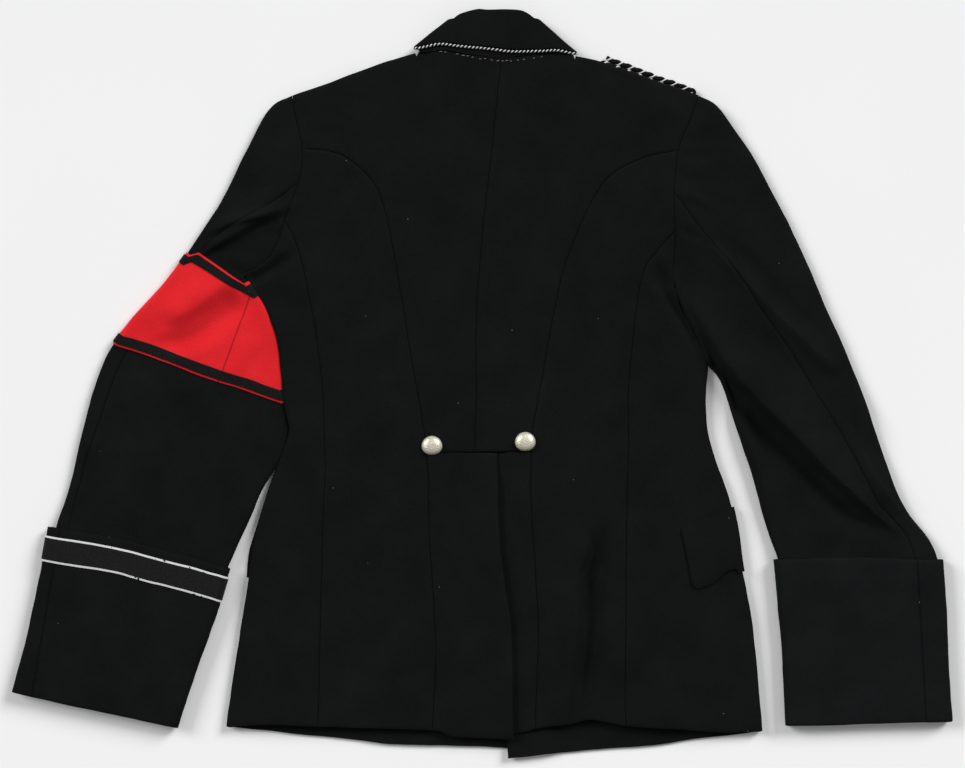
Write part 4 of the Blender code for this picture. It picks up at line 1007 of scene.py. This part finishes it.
def make_flap_right():
    rows = 4
    edge = line_of("edge_right", (7, 8), (rows,))
    normals = side_normals(edge, (0, 0))
    rim = edge - normals * ROLL
    top = pulled(line_of("flap_right_top", (0, 3), (3,)), -1, rim[0])
    hem = pulled(line_of("flap_right_hem", (0, 4), (3,)), -1, rim[-1])
    rear = line_of("flap_right_rear", (0, 2), (rows,))
    proud = FLAP_CLEAR + FLAP_WALL
    upper = raised(edged(patch(top, hem, rear, rim), ("first",)), lambda p: top_at(p) + proud)
    upper = dipped(with_detail(upper), ("first", "bottom"), depth=0.7, reach=2.4)
    roll = roll_from(upper[:, -1], 0.0, normals, ROLL + proud)
    lower = level(np.linspace(rim, rim + FLAP_UNDER, 4 * F + 1).transpose(1, 0, 2), 0.0)
    lower[:, 0] = roll[-1]
    build("pocket_flap_right", rolled(upper, roll, lower), wall=FLAP_WALL)


def make_flap_left():
    rear, front = (spline(LINES["flap_left_" + end], 4)[0] for end in ("rear", "front"))
    flat = level(np.linspace(rear, front, 5 * F + 1).transpose(1, 0, 2), 0.0)
    build("pocket_flap_left", [(0, 0, flat)], wall=FLAP_WALL)


def collar_ring(share, inward, edges, tops):
    count = COLLAR_COLUMNS * F
    parts = []
    for roll_name, edge_name in (("collar_roll_back", edges[0]), ("collar_roll_front", edges[1])):
        roll = resample(spline(LINES[roll_name])[0], count)
        low = resample(spline(LINES[edge_name])[0], count)
        line = roll + (low - roll) * share
        across = unit(line[-1] - line[0])
        u = np.linspace(0, 1, count + 1)[:, None]
        parts.append(line + across * (COLLAR_FOLD + inward) * (1 - 2 * u))
    back, front = parts
    tall = (tops[0] - tops[1]) / 2
    middle = (tops[0] + tops[1]) / 2
    folds = {}
    for name, end, sign in (("left", 0, -1), ("right", -1, 1)):
        centre = (back[end] + front[end]) / 2
        rows = []
        for k in range(1, ROLL_STEPS):
            angle = math.pi * k / ROLL_STEPS
            plan = centre + across * sign * COLLAR_FOLD * math.sin(angle)
            normal = unit(np.array((*(across * sign * math.sin(angle) * tall), math.cos(angle) * COLLAR_FOLD)))
            rows.append([*plan, middle + tall * math.cos(angle), *normal])
        folds[name] = np.array(rows)
    under = level(front, tops[1])
    slit = np.array((*(across * COLLAR_SLIT), 0, 0, 0, 0))
    half = count // 2
    left_front, right_front = under[:half + 1][::-1].copy(), under[half:][::-1].copy()
    left_front[0] -= slit
    right_front[-1] += slit
    upper = level(back, tops[0], 1)
    ends = smooth(np.linspace(0, 1, count + 1) / 0.12) * smooth(np.linspace(1, 0, count + 1) / 0.12)
    upper[:, 2] += ends * (0.5 * noise(back, 38, 4.4) + 0.3 * noise(back, 14, 1.9)) - (1 - ends) * 0.5
    return np.vstack([left_front, folds["left"][::-1], upper, folds["right"], right_front])


def make_collar():
    shares = np.concatenate([np.linspace(0, 0.94, 4 * F), [0.965, 0.985, 1]])
    fall = np.array([collar_ring(share, 0, ("collar_edge_back", "collar_edge_front"), (FALL_TOP, 0.0))
                     for share in shares])
    up = unit(fall[0, :, :3] - fall[4, :, :3])
    lip = []
    for angle in np.linspace(0.12, 0.62, 6) * math.pi:
        row = fall[0].copy()
        row[:, :3] += up * LIP * math.sin(angle) - fall[0, :, 3:] * LIP * (1 - math.cos(angle))
        row[:, 3:] = unit(fall[0, :, 3:] * math.cos(angle) + up * math.sin(angle))
        lip.append(row)
    turned = (1 - np.clip((1 - shares) / 0.03, 0, 1)) ** 2
    fall[..., :3] -= fall[..., 3:] * (0.5 * turned)[:, None, None]
    build("collar_fall", [(0, 0, np.vstack([np.array(lip)[::-1], fall]))])
    step = WALL + LAYER_GAP
    stand = np.array([collar_ring(share, step, ("neck_back", "neck_front"), (STAND_TOP, step + STAND_CLEAR))
                      for share in fine(np.array(STAND_SHARES) * 1.063)])
    build("collar_stand", [(0, 0, stand)])
    down = fall[-1, :, :3] - fall[-4, :, :3]
    window = np.ones(6 * F + 1)
    reach = np.convolve(np.ones(len(down)), window, "same")
    down = unit(np.column_stack([np.convolve(down[:, k], window, "same") / reach for k in range(3)]))
    edge = fall[-1, :, :3] + down * (PIPING + PIPING_CLEAR - 0.5) - fall[-1, :, 3:] * (PIPING - 0.6)
    out = (edge[:, 0] - COLLAR_MIDDLE) * PIPING_DRAW
    edge[:, 0] = COLLAR_MIDDLE + out
    edge[:, 1] += PIPING_TUCK * smooth((abs(out) - 62) / 12) * np.clip(1 - edge[:, 2] / 10, 0, 1)
    twisted("collar_piping", edge, PIPING, 2.0, (0.5, 0.6))


def dense_path(points, pitch):
    """The same path with even short steps."""
    length = np.concatenate([[0], np.cumsum(np.linalg.norm(np.diff(points, axis=0), axis=1))])
    at = np.linspace(0, length[-1], int(length[-1] / pitch) + 1)
    return np.column_stack([np.interp(at, length, points[:, k]) for k in range(3)]), at


def tube_mesh(paths, radii, sides):
    """Vertices and faces of round tubes along paths, with closed ends."""
    verts, faces = [], []
    for path, radius in zip(paths, radii):
        start = len(verts)
        tangent = unit(np.gradient(path, axis=0))
        side = np.cross(tangent, (0, 0, 1))
        side = unit(np.where(np.linalg.norm(side, axis=1)[:, None] < 1e-4, (1, 0, 0), side))
        up = np.cross(side, tangent)
        for p, s, u in zip(path, side, up):
            for k in range(sides):
                angle = 2 * math.pi * k / sides
                verts.append(p + radius * (math.cos(angle) * s + math.sin(angle) * u))
        count = len(path)
        for i in range(count - 1):
            for k in range(sides):
                a, b = start + i * sides + k, start + i * sides + (k + 1) % sides
                faces.append([a, b, b + sides, a + sides])
        faces.append([start + k for k in range(sides)][::-1])
        faces.append([start + (count - 1) * sides + k for k in range(sides)])
    return verts, faces


def tube_piece(name, paths, radii, sides, look, node):
    verts, faces = tube_mesh(paths, radii, sides)
    verts = np.array(verts)
    verts[:, :2] = warp(verts[:, :2])
    verts[:, 2] = np.maximum(verts[:, 2], 0.0)
    add_piece(name, verts, faces, look, node)


def twisted(node, points, radius, lay, thick):
    """Two strands laid round each other, one pale and one dark, each as thick as its share of the radius."""
    path, at = dense_path(np.asarray(points, float), 0.5)
    tangent = unit(np.gradient(path, axis=0))
    side = unit(np.cross(tangent, (0, 0, 1)) + (1e-6, 0, 0))
    up = np.cross(side, tangent)
    for name, look, phase, share in (("pale", CORD_PALE, 0.0, thick[0]), ("dark", CORD_DARK, math.pi, thick[1])):
        angle = math.pi * at / lay + phase
        strand = path + (np.cos(angle)[:, None] * side + np.sin(angle)[:, None] * up) * radius * (1 - share)
        tube_piece(node + "_" + name, [strand], [radius * share], 8, look, node)


def make_shoulder_cord():
    """Cord shoulder board: a thick twisted cord laid to and fro, whose first run looks out over the shoulder."""
    start, end = (np.array(p, float) for p in LINES["shoulder_cord"])
    along = unit(end - start)
    out = np.array((-along[1], along[0]))
    points = []
    for run in range(CORD_RUNS):
        ends = (start, end) if run % 2 == 0 else (end, start)
        place = CORD_SHOWN - run * CORD_PITCH
        points += [p + out * place for p in np.linspace(ends[0], ends[1], 25)]
        if run < CORD_RUNS - 1:
            turn = along * (1 if run % 2 == 0 else -1)
            for angle in np.linspace(0.1, 0.9, 9) * math.pi:
                swing = out * (math.cos(angle) - 1) + turn * math.sin(angle)
                points.append(ends[1] + out * place + swing * CORD_PITCH / 2)
    twisted("shoulder_cord", [(*p, CORD_RADIUS + 0.8) for p in points], CORD_RADIUS * CORD_SWELL, 6.0, (0.25, 0.77))


def button_mesh(name, place, base, height, down, rough):
    """A domed button with a turned rim and a pebbled crown; one that faces up tips a little towards the hem."""
    profile = [(0.0, 1.0), (0.2, 0.985), (0.4, 0.94), (0.58, 0.86), (0.74, 0.73), (0.87, 0.55), (0.95, 0.38),
               (1.0, 0.2), (0.995, 0.1), (0.94, 0.0), (0.5, 0.0), (0.0, 0.0)]
    line = np.array(profile) * (BUTTON_RADIUS, height)
    line = np.vstack([resample(line[:8], 20), line[8:]])
    sides = BUTTON_SIDES
    verts = []
    for x, z in line[1:-1]:
        for k in range(sides):
            angle = 2 * math.pi * k / sides
            p = np.array((x * math.cos(angle), x * math.sin(angle)))
            crown = smooth((BUTTON_RADIUS * 0.97 - x) / 2) if z > 0.25 * height else 0.0
            pebble = rough * crown * float(abs(noise(p + 50, 1.5, 0.7)) + 0.6 * abs(noise(p + 90, 0.8, 0.1)))
            verts.append((*p, z + pebble))
    verts += [(0, 0, line[0, 1]), (0, 0, 0)]
    faces = []
    count = len(line) - 2
    for i in range(count - 1):
        for k in range(sides):
            a, b = i * sides + k, i * sides + (k + 1) % sides
            faces.append([a, a + sides, b + sides, b])
    top, low = count * sides, count * sides + 1
    for k in range(sides):
        faces.append([top, k, (k + 1) % sides])
        faces.append([low, (count - 1) * sides + (k + 1) % sides, (count - 1) * sides + k])
    verts = np.array(verts)
    if down:
        verts[:, 1:] *= -1
    else:
        verts[:, 1] = np.where(verts[:, 1] < 0, verts[:, 1] * BUTTON_TIP, verts[:, 1])
    verts[:, :2] += place
    verts[:, 2] = np.maximum(verts[:, 2] + base, 0.0)
    add_piece(name + "_dome", verts, faces, METAL, name)


def make_buttons():
    for side, place in zip(("left", "right"), BACK_BUTTONS):
        low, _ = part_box("back_button_" + side)
        button_mesh("back_button_" + side, place, low[2] / MM, BUTTON_HEIGHT, False, 0.32)
    for number, place in enumerate(FRONT_BUTTONS, 1):
        button_mesh("front_button_%d" % number, place, FRONT_BUTTON_HEIGHT, FRONT_BUTTON_HEIGHT, True, 0.12)


def make_threads():
    """Loose ends of basting thread along the neck seam."""
    paths, radii = [], []
    spots = [(-50, 347, 2), (-44, 346, 3), (-39, 345, 2), (-27, 343, 3), (-21, 342, 3), (-16, 341, 2), (-11, 340, 2),
             (-3, 338, 2), (2, 338, 2), (9, 337, 2), (15, 336, 3), (20, 336, 2), (24, 336, 3), (29, 336, 2),
             (36, 337, 2), (42, 338, 2), (52, 339, 2), (60, 340, 2)]
    for k, (x, y, long) in enumerate(spots):
        t = np.linspace(0, 1, 9)
        turn = RANDOM.uniform(-0.5, 0.5)
        px = x + long * t * math.cos(turn)
        py = y - 3.2 + long * t * math.sin(turn) * 0.5 + RANDOM.uniform(-0.3, 0.3) * np.sin(2 * math.pi * t)
        plan = np.column_stack([px, py])
        z = top_at(plan) + detail(plan) + 0.35 + 0.5 * np.sin(math.pi * t)
        paths.append(np.column_stack([plan, z]))
        radii.append(0.17)
    tube_piece("neck_threads", paths, radii, 5, THREAD, None)


FRONT_UNDER = {"left": under_left, "right": under_right}


class Look:
    """A short hand for putting nodes into a material."""

    def __init__(self, name, roughness, sheen=0.0, metallic=0.0, specular=0.01):
        self.material = bpy.data.materials.new(name)
        self.material.use_nodes = True
        self.tree = self.material.node_tree
        self.shader = self.tree.nodes["Principled BSDF"]
        self.shader.inputs["Roughness"].default_value = roughness
        self.shader.inputs["Metallic"].default_value = metallic
        self.shader.inputs["Sheen Weight"].default_value = sheen
        self.shader.inputs["Sheen Roughness"].default_value = 0.45
        self.shader.inputs["Specular IOR Level"].default_value = specular
        self.place = self.node("ShaderNodeTexCoord").outputs["Object"]

    def node(self, kind, **inputs):
        node = self.tree.nodes.new(kind)
        for key, value in inputs.items():
            slot_in = node.inputs[int(key[1:])] if key[0] == "i" and key[1:].isdigit() else node.inputs[key]
            self.feed(slot_in, value)
        return node

    def feed(self, slot_in, value):
        if isinstance(value, bpy.types.NodeSocket):
            self.tree.links.new(value, slot_in)
        else:
            slot_in.default_value = value

    def math(self, kind, a, b=0.0, clamp=False):
        node = self.tree.nodes.new("ShaderNodeMath")
        node.operation = kind
        node.use_clamp = clamp
        self.feed(node.inputs[0], a)
        self.feed(node.inputs[1], b)
        return node.outputs[0]

    def noise(self, scale, detail=2.0, stretch=None, rough=0.5):
        place = self.place
        if stretch:
            node = self.tree.nodes.new("ShaderNodeMapping")
            node.inputs["Scale"].default_value = stretch[:3]
            node.inputs["Rotation"].default_value = (0, 0, stretch[3])
            self.feed(node.inputs["Vector"], place)
            place = node.outputs[0]
        node = self.node("ShaderNodeTexNoise", Vector=place, Scale=scale, Detail=detail, Roughness=rough)
        return node.outputs["Fac"]

    def cells(self, scale):
        return self.node("ShaderNodeTexVoronoi", Vector=self.place, Scale=scale)

    def ramp(self, value, stops):
        node = self.tree.nodes.new("ShaderNodeValToRGB")
        self.feed(node.inputs[0], value)
        ramp = node.color_ramp
        while len(ramp.elements) < len(stops):
            ramp.elements.new(0.5)
        for element, (at, colour) in zip(ramp.elements, stops):
            element.position = at
            element.color = (*colour, 1) if len(colour) == 3 else colour
        return node.outputs[0]

    def mix(self, share, a, b, kind="MIX"):
        node = self.tree.nodes.new("ShaderNodeMix")
        node.data_type = "RGBA"
        node.blend_type = kind
        self.feed(node.inputs["Factor"], share)
        for slot_in, value in ((node.inputs[6], a), (node.inputs[7], b)):
            self.feed(slot_in, (*value, 1) if isinstance(value, tuple) else value)
        return node.outputs[2]

    def bump(self, height, strength, distance, before=None):
        node = self.node("ShaderNodeBump", Strength=strength, Distance=distance, Height=height)
        if before:
            self.feed(node.inputs["Normal"], before)
        return node.outputs[0]

    def done(self, colour, normal=None):
        self.feed(self.shader.inputs["Base Color"], colour)
        if normal:
            self.feed(self.shader.inputs["Normal"], normal)
        return self.material


def lint(look, colour, amount=0.7):
    """Scattered specks of pale lint."""
    cell = look.cells(38.0)
    close = look.math("LESS_THAN", cell.outputs["Distance"], 0.02)
    chosen = look.math("LESS_THAN", look.node("ShaderNodeSeparateColor", Color=cell.outputs["Color"]).outputs[0],
                       amount)
    return look.mix(look.math("MULTIPLY", close, chosen), colour, (0.13, 0.13, 0.125))


def wool(name, dark, light, specks=True, seam=None, sheen=0.004,
         groove_shade_tone=(0.002, 0.002, 0.002), width=0.0016):
    """Milled wool with nap, and a pressed seam along two points if they are given, its groove darkened with painted
    shade.
    """
    look = Look(name, 0.85, sheen=sheen)
    cloudy = look.noise(26.0, 4.0)
    nap = look.noise(900.0, 3.0, (1.0, 0.45, 1.0, 0.5))
    fibre = look.noise(2600.0, 2.0, (1.0, 0.3, 1.0, -0.7))
    tone = look.math("ADD", look.math("MULTIPLY", cloudy, 0.55), look.math("MULTIPLY", nap, 0.45))
    colour = look.ramp(tone, [(0.3, dark), (0.7, light)])
    colour = look.mix(look.math("MULTIPLY", fibre, 0.35), colour, tuple(1.5 * c for c in light), "MIX")
    normal = look.bump(nap, 0.55, 0.00045)
    normal = look.bump(fibre, 0.35, 0.0002, normal)
    if seam:
        a, b = (np.array(p) * MM for p in seam)
        across = unit(np.array((b[1] - a[1], a[0] - b[0])))
        gap = look.node("ShaderNodeVectorMath", i0=look.place, i1=(across[0], across[1], 0))
        gap.operation = "DOT_PRODUCT"
        away = look.math("ABSOLUTE", look.math("SUBTRACT", gap.outputs["Value"], float(a @ across)))
        groove = look.math("MULTIPLY", look.math("SUBTRACT", width, away), 1 / width, clamp=True)
        # Painted shade: the colour is darkened along the seam's groove, besides the groove's bump
        colour = look.mix(look.math("MULTIPLY", groove, 0.45), colour, groove_shade_tone)
        normal = look.bump(look.math("SUBTRACT", 1.0, groove), 0.9, 0.0008, normal)
    if specks:
        colour = lint(look, colour)
    return look.done(colour, normal)


def woven(name, dark, light):
    look = Look(name, 0.75, sheen=0.08)
    ribs = look.node("ShaderNodeTexWave", Vector=look.place, Scale=420.0, Distortion=0.6)
    ribs.bands_direction = "DIAGONAL"
    colour = look.ramp(look.noise(700.0, 2.0), [(0.3, dark), (0.7, light)])
    return look.done(colour, look.bump(ribs.outputs["Fac"], 0.5, 0.0003))


def ribbon_look():
    """Black woven ribbon whose two pale edge lines follow the ribbon's width."""
    look = Look("cuff_ribbon_weave", 0.6, sheen=0.05)
    uv = look.node("ShaderNodeUVMap")
    parts = look.node("ShaderNodeSeparateXYZ", Vector=uv.outputs[0])
    across = parts.outputs["Y"]
    ribs = look.node("ShaderNodeTexWave", Vector=look.place, Scale=330.0, Distortion=0.3)
    ribs.bands_direction = "X"
    worn = look.noise(230.0, 2.0)
    edge = look.math("ABSOLUTE", look.math("SUBTRACT", across, 0.5))
    line = look.math("GREATER_THAN", edge, 0.425)
    whole = look.math("GREATER_THAN", worn, 0.33)
    line = look.math("MULTIPLY", line, whole)
    inner = look.ramp(look.noise(800.0, 2.0), [(0.3, (0.008, 0.008, 0.008)), (0.7, (0.016, 0.016, 0.016))])
    pale = look.ramp(ribs.outputs["Fac"], [(0.0, (0.42, 0.42, 0.41)), (0.6, (0.75, 0.75, 0.74))])
    colour = look.mix(line, inner, pale)
    normal = look.bump(ribs.outputs["Fac"], 0.5, 0.00025)
    normal = look.bump(line, 0.6, 0.0003, normal)
    return look.done(colour, normal)


def cord_look(name, dark, light):
    look = Look(name, 0.55)
    colour = look.ramp(look.noise(1200.0, 2.0), [(0.3, dark), (0.7, light)])
    return look.done(colour, look.bump(look.noise(2200.0, 2.0, (1.0, 0.3, 1.0, 0.6)), 0.5, 0.0002))


def metal_look():
    look = Look("button_metal", 0.46, metallic=0.55, specular=0.5)
    cell = look.cells(900.0)
    # Lighter in the middle of each pebble, darker towards the hollows between them
    pebble_tone = look.ramp(cell.outputs["Distance"], [(0.0, (0.86, 0.82, 0.70)), (0.75, (0.64, 0.59, 0.45))])
    patina = look.noise(260.0, 3.0)
    colour = look.mix(look.math("MULTIPLY", patina, 0.4), pebble_tone, (0.72, 0.69, 0.60))
    normal = look.bump(look.math("SUBTRACT", 1.0, cell.outputs["Distance"]), 0.55, 0.0003)
    return look.done(colour, normal)


WOOL = wool("dark_wool", (0.0036, 0.0041, 0.0038), (0.0078, 0.0086, 0.0082))
CUFF_WOOL = {
    "left": wool("cuff_wool_left", (0.0036, 0.0041, 0.0038), (0.0078, 0.0086, 0.0082),
                 seam=((-442, -195), (-463, -318))),
    "right": wool("cuff_wool_right", (0.0044, 0.0048, 0.0049), (0.0092, 0.0099, 0.0101),
                  seam=((447, -179), (456, -345))),
}
# The red cloth's lap seam, like the cuffs' seams above, is darkened with painted shade in its groove
RED = wool("red_wool_cloth", (0.50, 0.0105, 0.0145), (0.66, 0.0195, 0.0255), specks=False, sheen=0.05,
           seam=((-237, 97), (-273, -2)), groove_shade_tone=(0.02, 0.001, 0.001), width=0.0011)
TAPE = woven("black_tape", (0.006, 0.006, 0.006), (0.012, 0.012, 0.012))
RIBBON = ribbon_look()
CORD_PALE = cord_look("cord_pale", (0.55, 0.55, 0.53), (0.78, 0.78, 0.76))
CORD_DARK = cord_look("cord_dark", (0.006, 0.006, 0.006), (0.012, 0.012, 0.012))
THREAD = cord_look("basting_thread", (0.34, 0.34, 0.32), (0.5, 0.5, 0.47))
METAL = metal_look()


for one in ("left", "right"):
    make_back(one)
    make_side_back(one)
    make_skirt(one)
    make_front(one)
    make_sleeve(one)
    make_cuff(one)
make_armband()
make_flap_left()
make_flap_right()
make_collar()
make_shoulder_cord()
make_buttons()
make_threads()


floor_mesh = bpy.data.meshes.new("floor")
floor_mesh.from_pydata([(-4, -4, -0.0004), (4, -4, -0.0004), (4, 4, -0.0004), (-4, 4, -0.0004)], [], [(0, 1, 2, 3)])
floor = bpy.data.objects.new("floor", floor_mesh)
bpy.context.scene.collection.objects.link(floor)
paper = Look("floor_paper", 0.7)
floor_mesh.materials.append(paper.done(paper.ramp(paper.noise(3.0, 2.0), [(0.2, (0.86, 0.86, 0.865)),
                                                                        (0.8, (0.88, 0.88, 0.885))])))

CAMERA_HEIGHT = 2.2
CLOTH_HEIGHT = 0.010
PHOTO_WIDTH = 965
PIXEL = 1.03
camera_data = bpy.data.cameras.new("camera")
camera_data.sensor_width = 36.0
camera_data.lens = camera_data.sensor_width * (CAMERA_HEIGHT - CLOTH_HEIGHT) / (PHOTO_WIDTH * PIXEL * MM)
camera = bpy.data.objects.new("camera", camera_data)
camera.location = (0, 0, CAMERA_HEIGHT)
bpy.context.scene.collection.objects.link(camera)
bpy.context.scene.camera = camera


def soft_sun(name, toward, height, spread, strength):
    """Even soft light, as from a large studio window: compass angle from +X, height above the table, spread."""
    data = bpy.data.lights.new(name, "SUN")
    data.energy = strength
    data.angle = math.radians(spread)
    piece = bpy.data.objects.new(name, data)
    piece.rotation_euler = (math.radians(90 - height), 0, math.radians(toward + 90))
    piece.location = (0, 0, 3)
    bpy.context.scene.collection.objects.link(piece)


soft_sun("soft_right", 42, 30, 26, 2.55)
soft_sun("soft_left", 152, 30, 26, 2.0)
world = bpy.data.worlds.new("world")
world.use_nodes = True
world.node_tree.nodes["Background"].inputs[0].default_value = (1, 1, 1, 1)
world.node_tree.nodes["Background"].inputs[1].default_value = 0.29
bpy.context.scene.world = world
bpy.context.scene.view_settings.view_transform = "Standard"
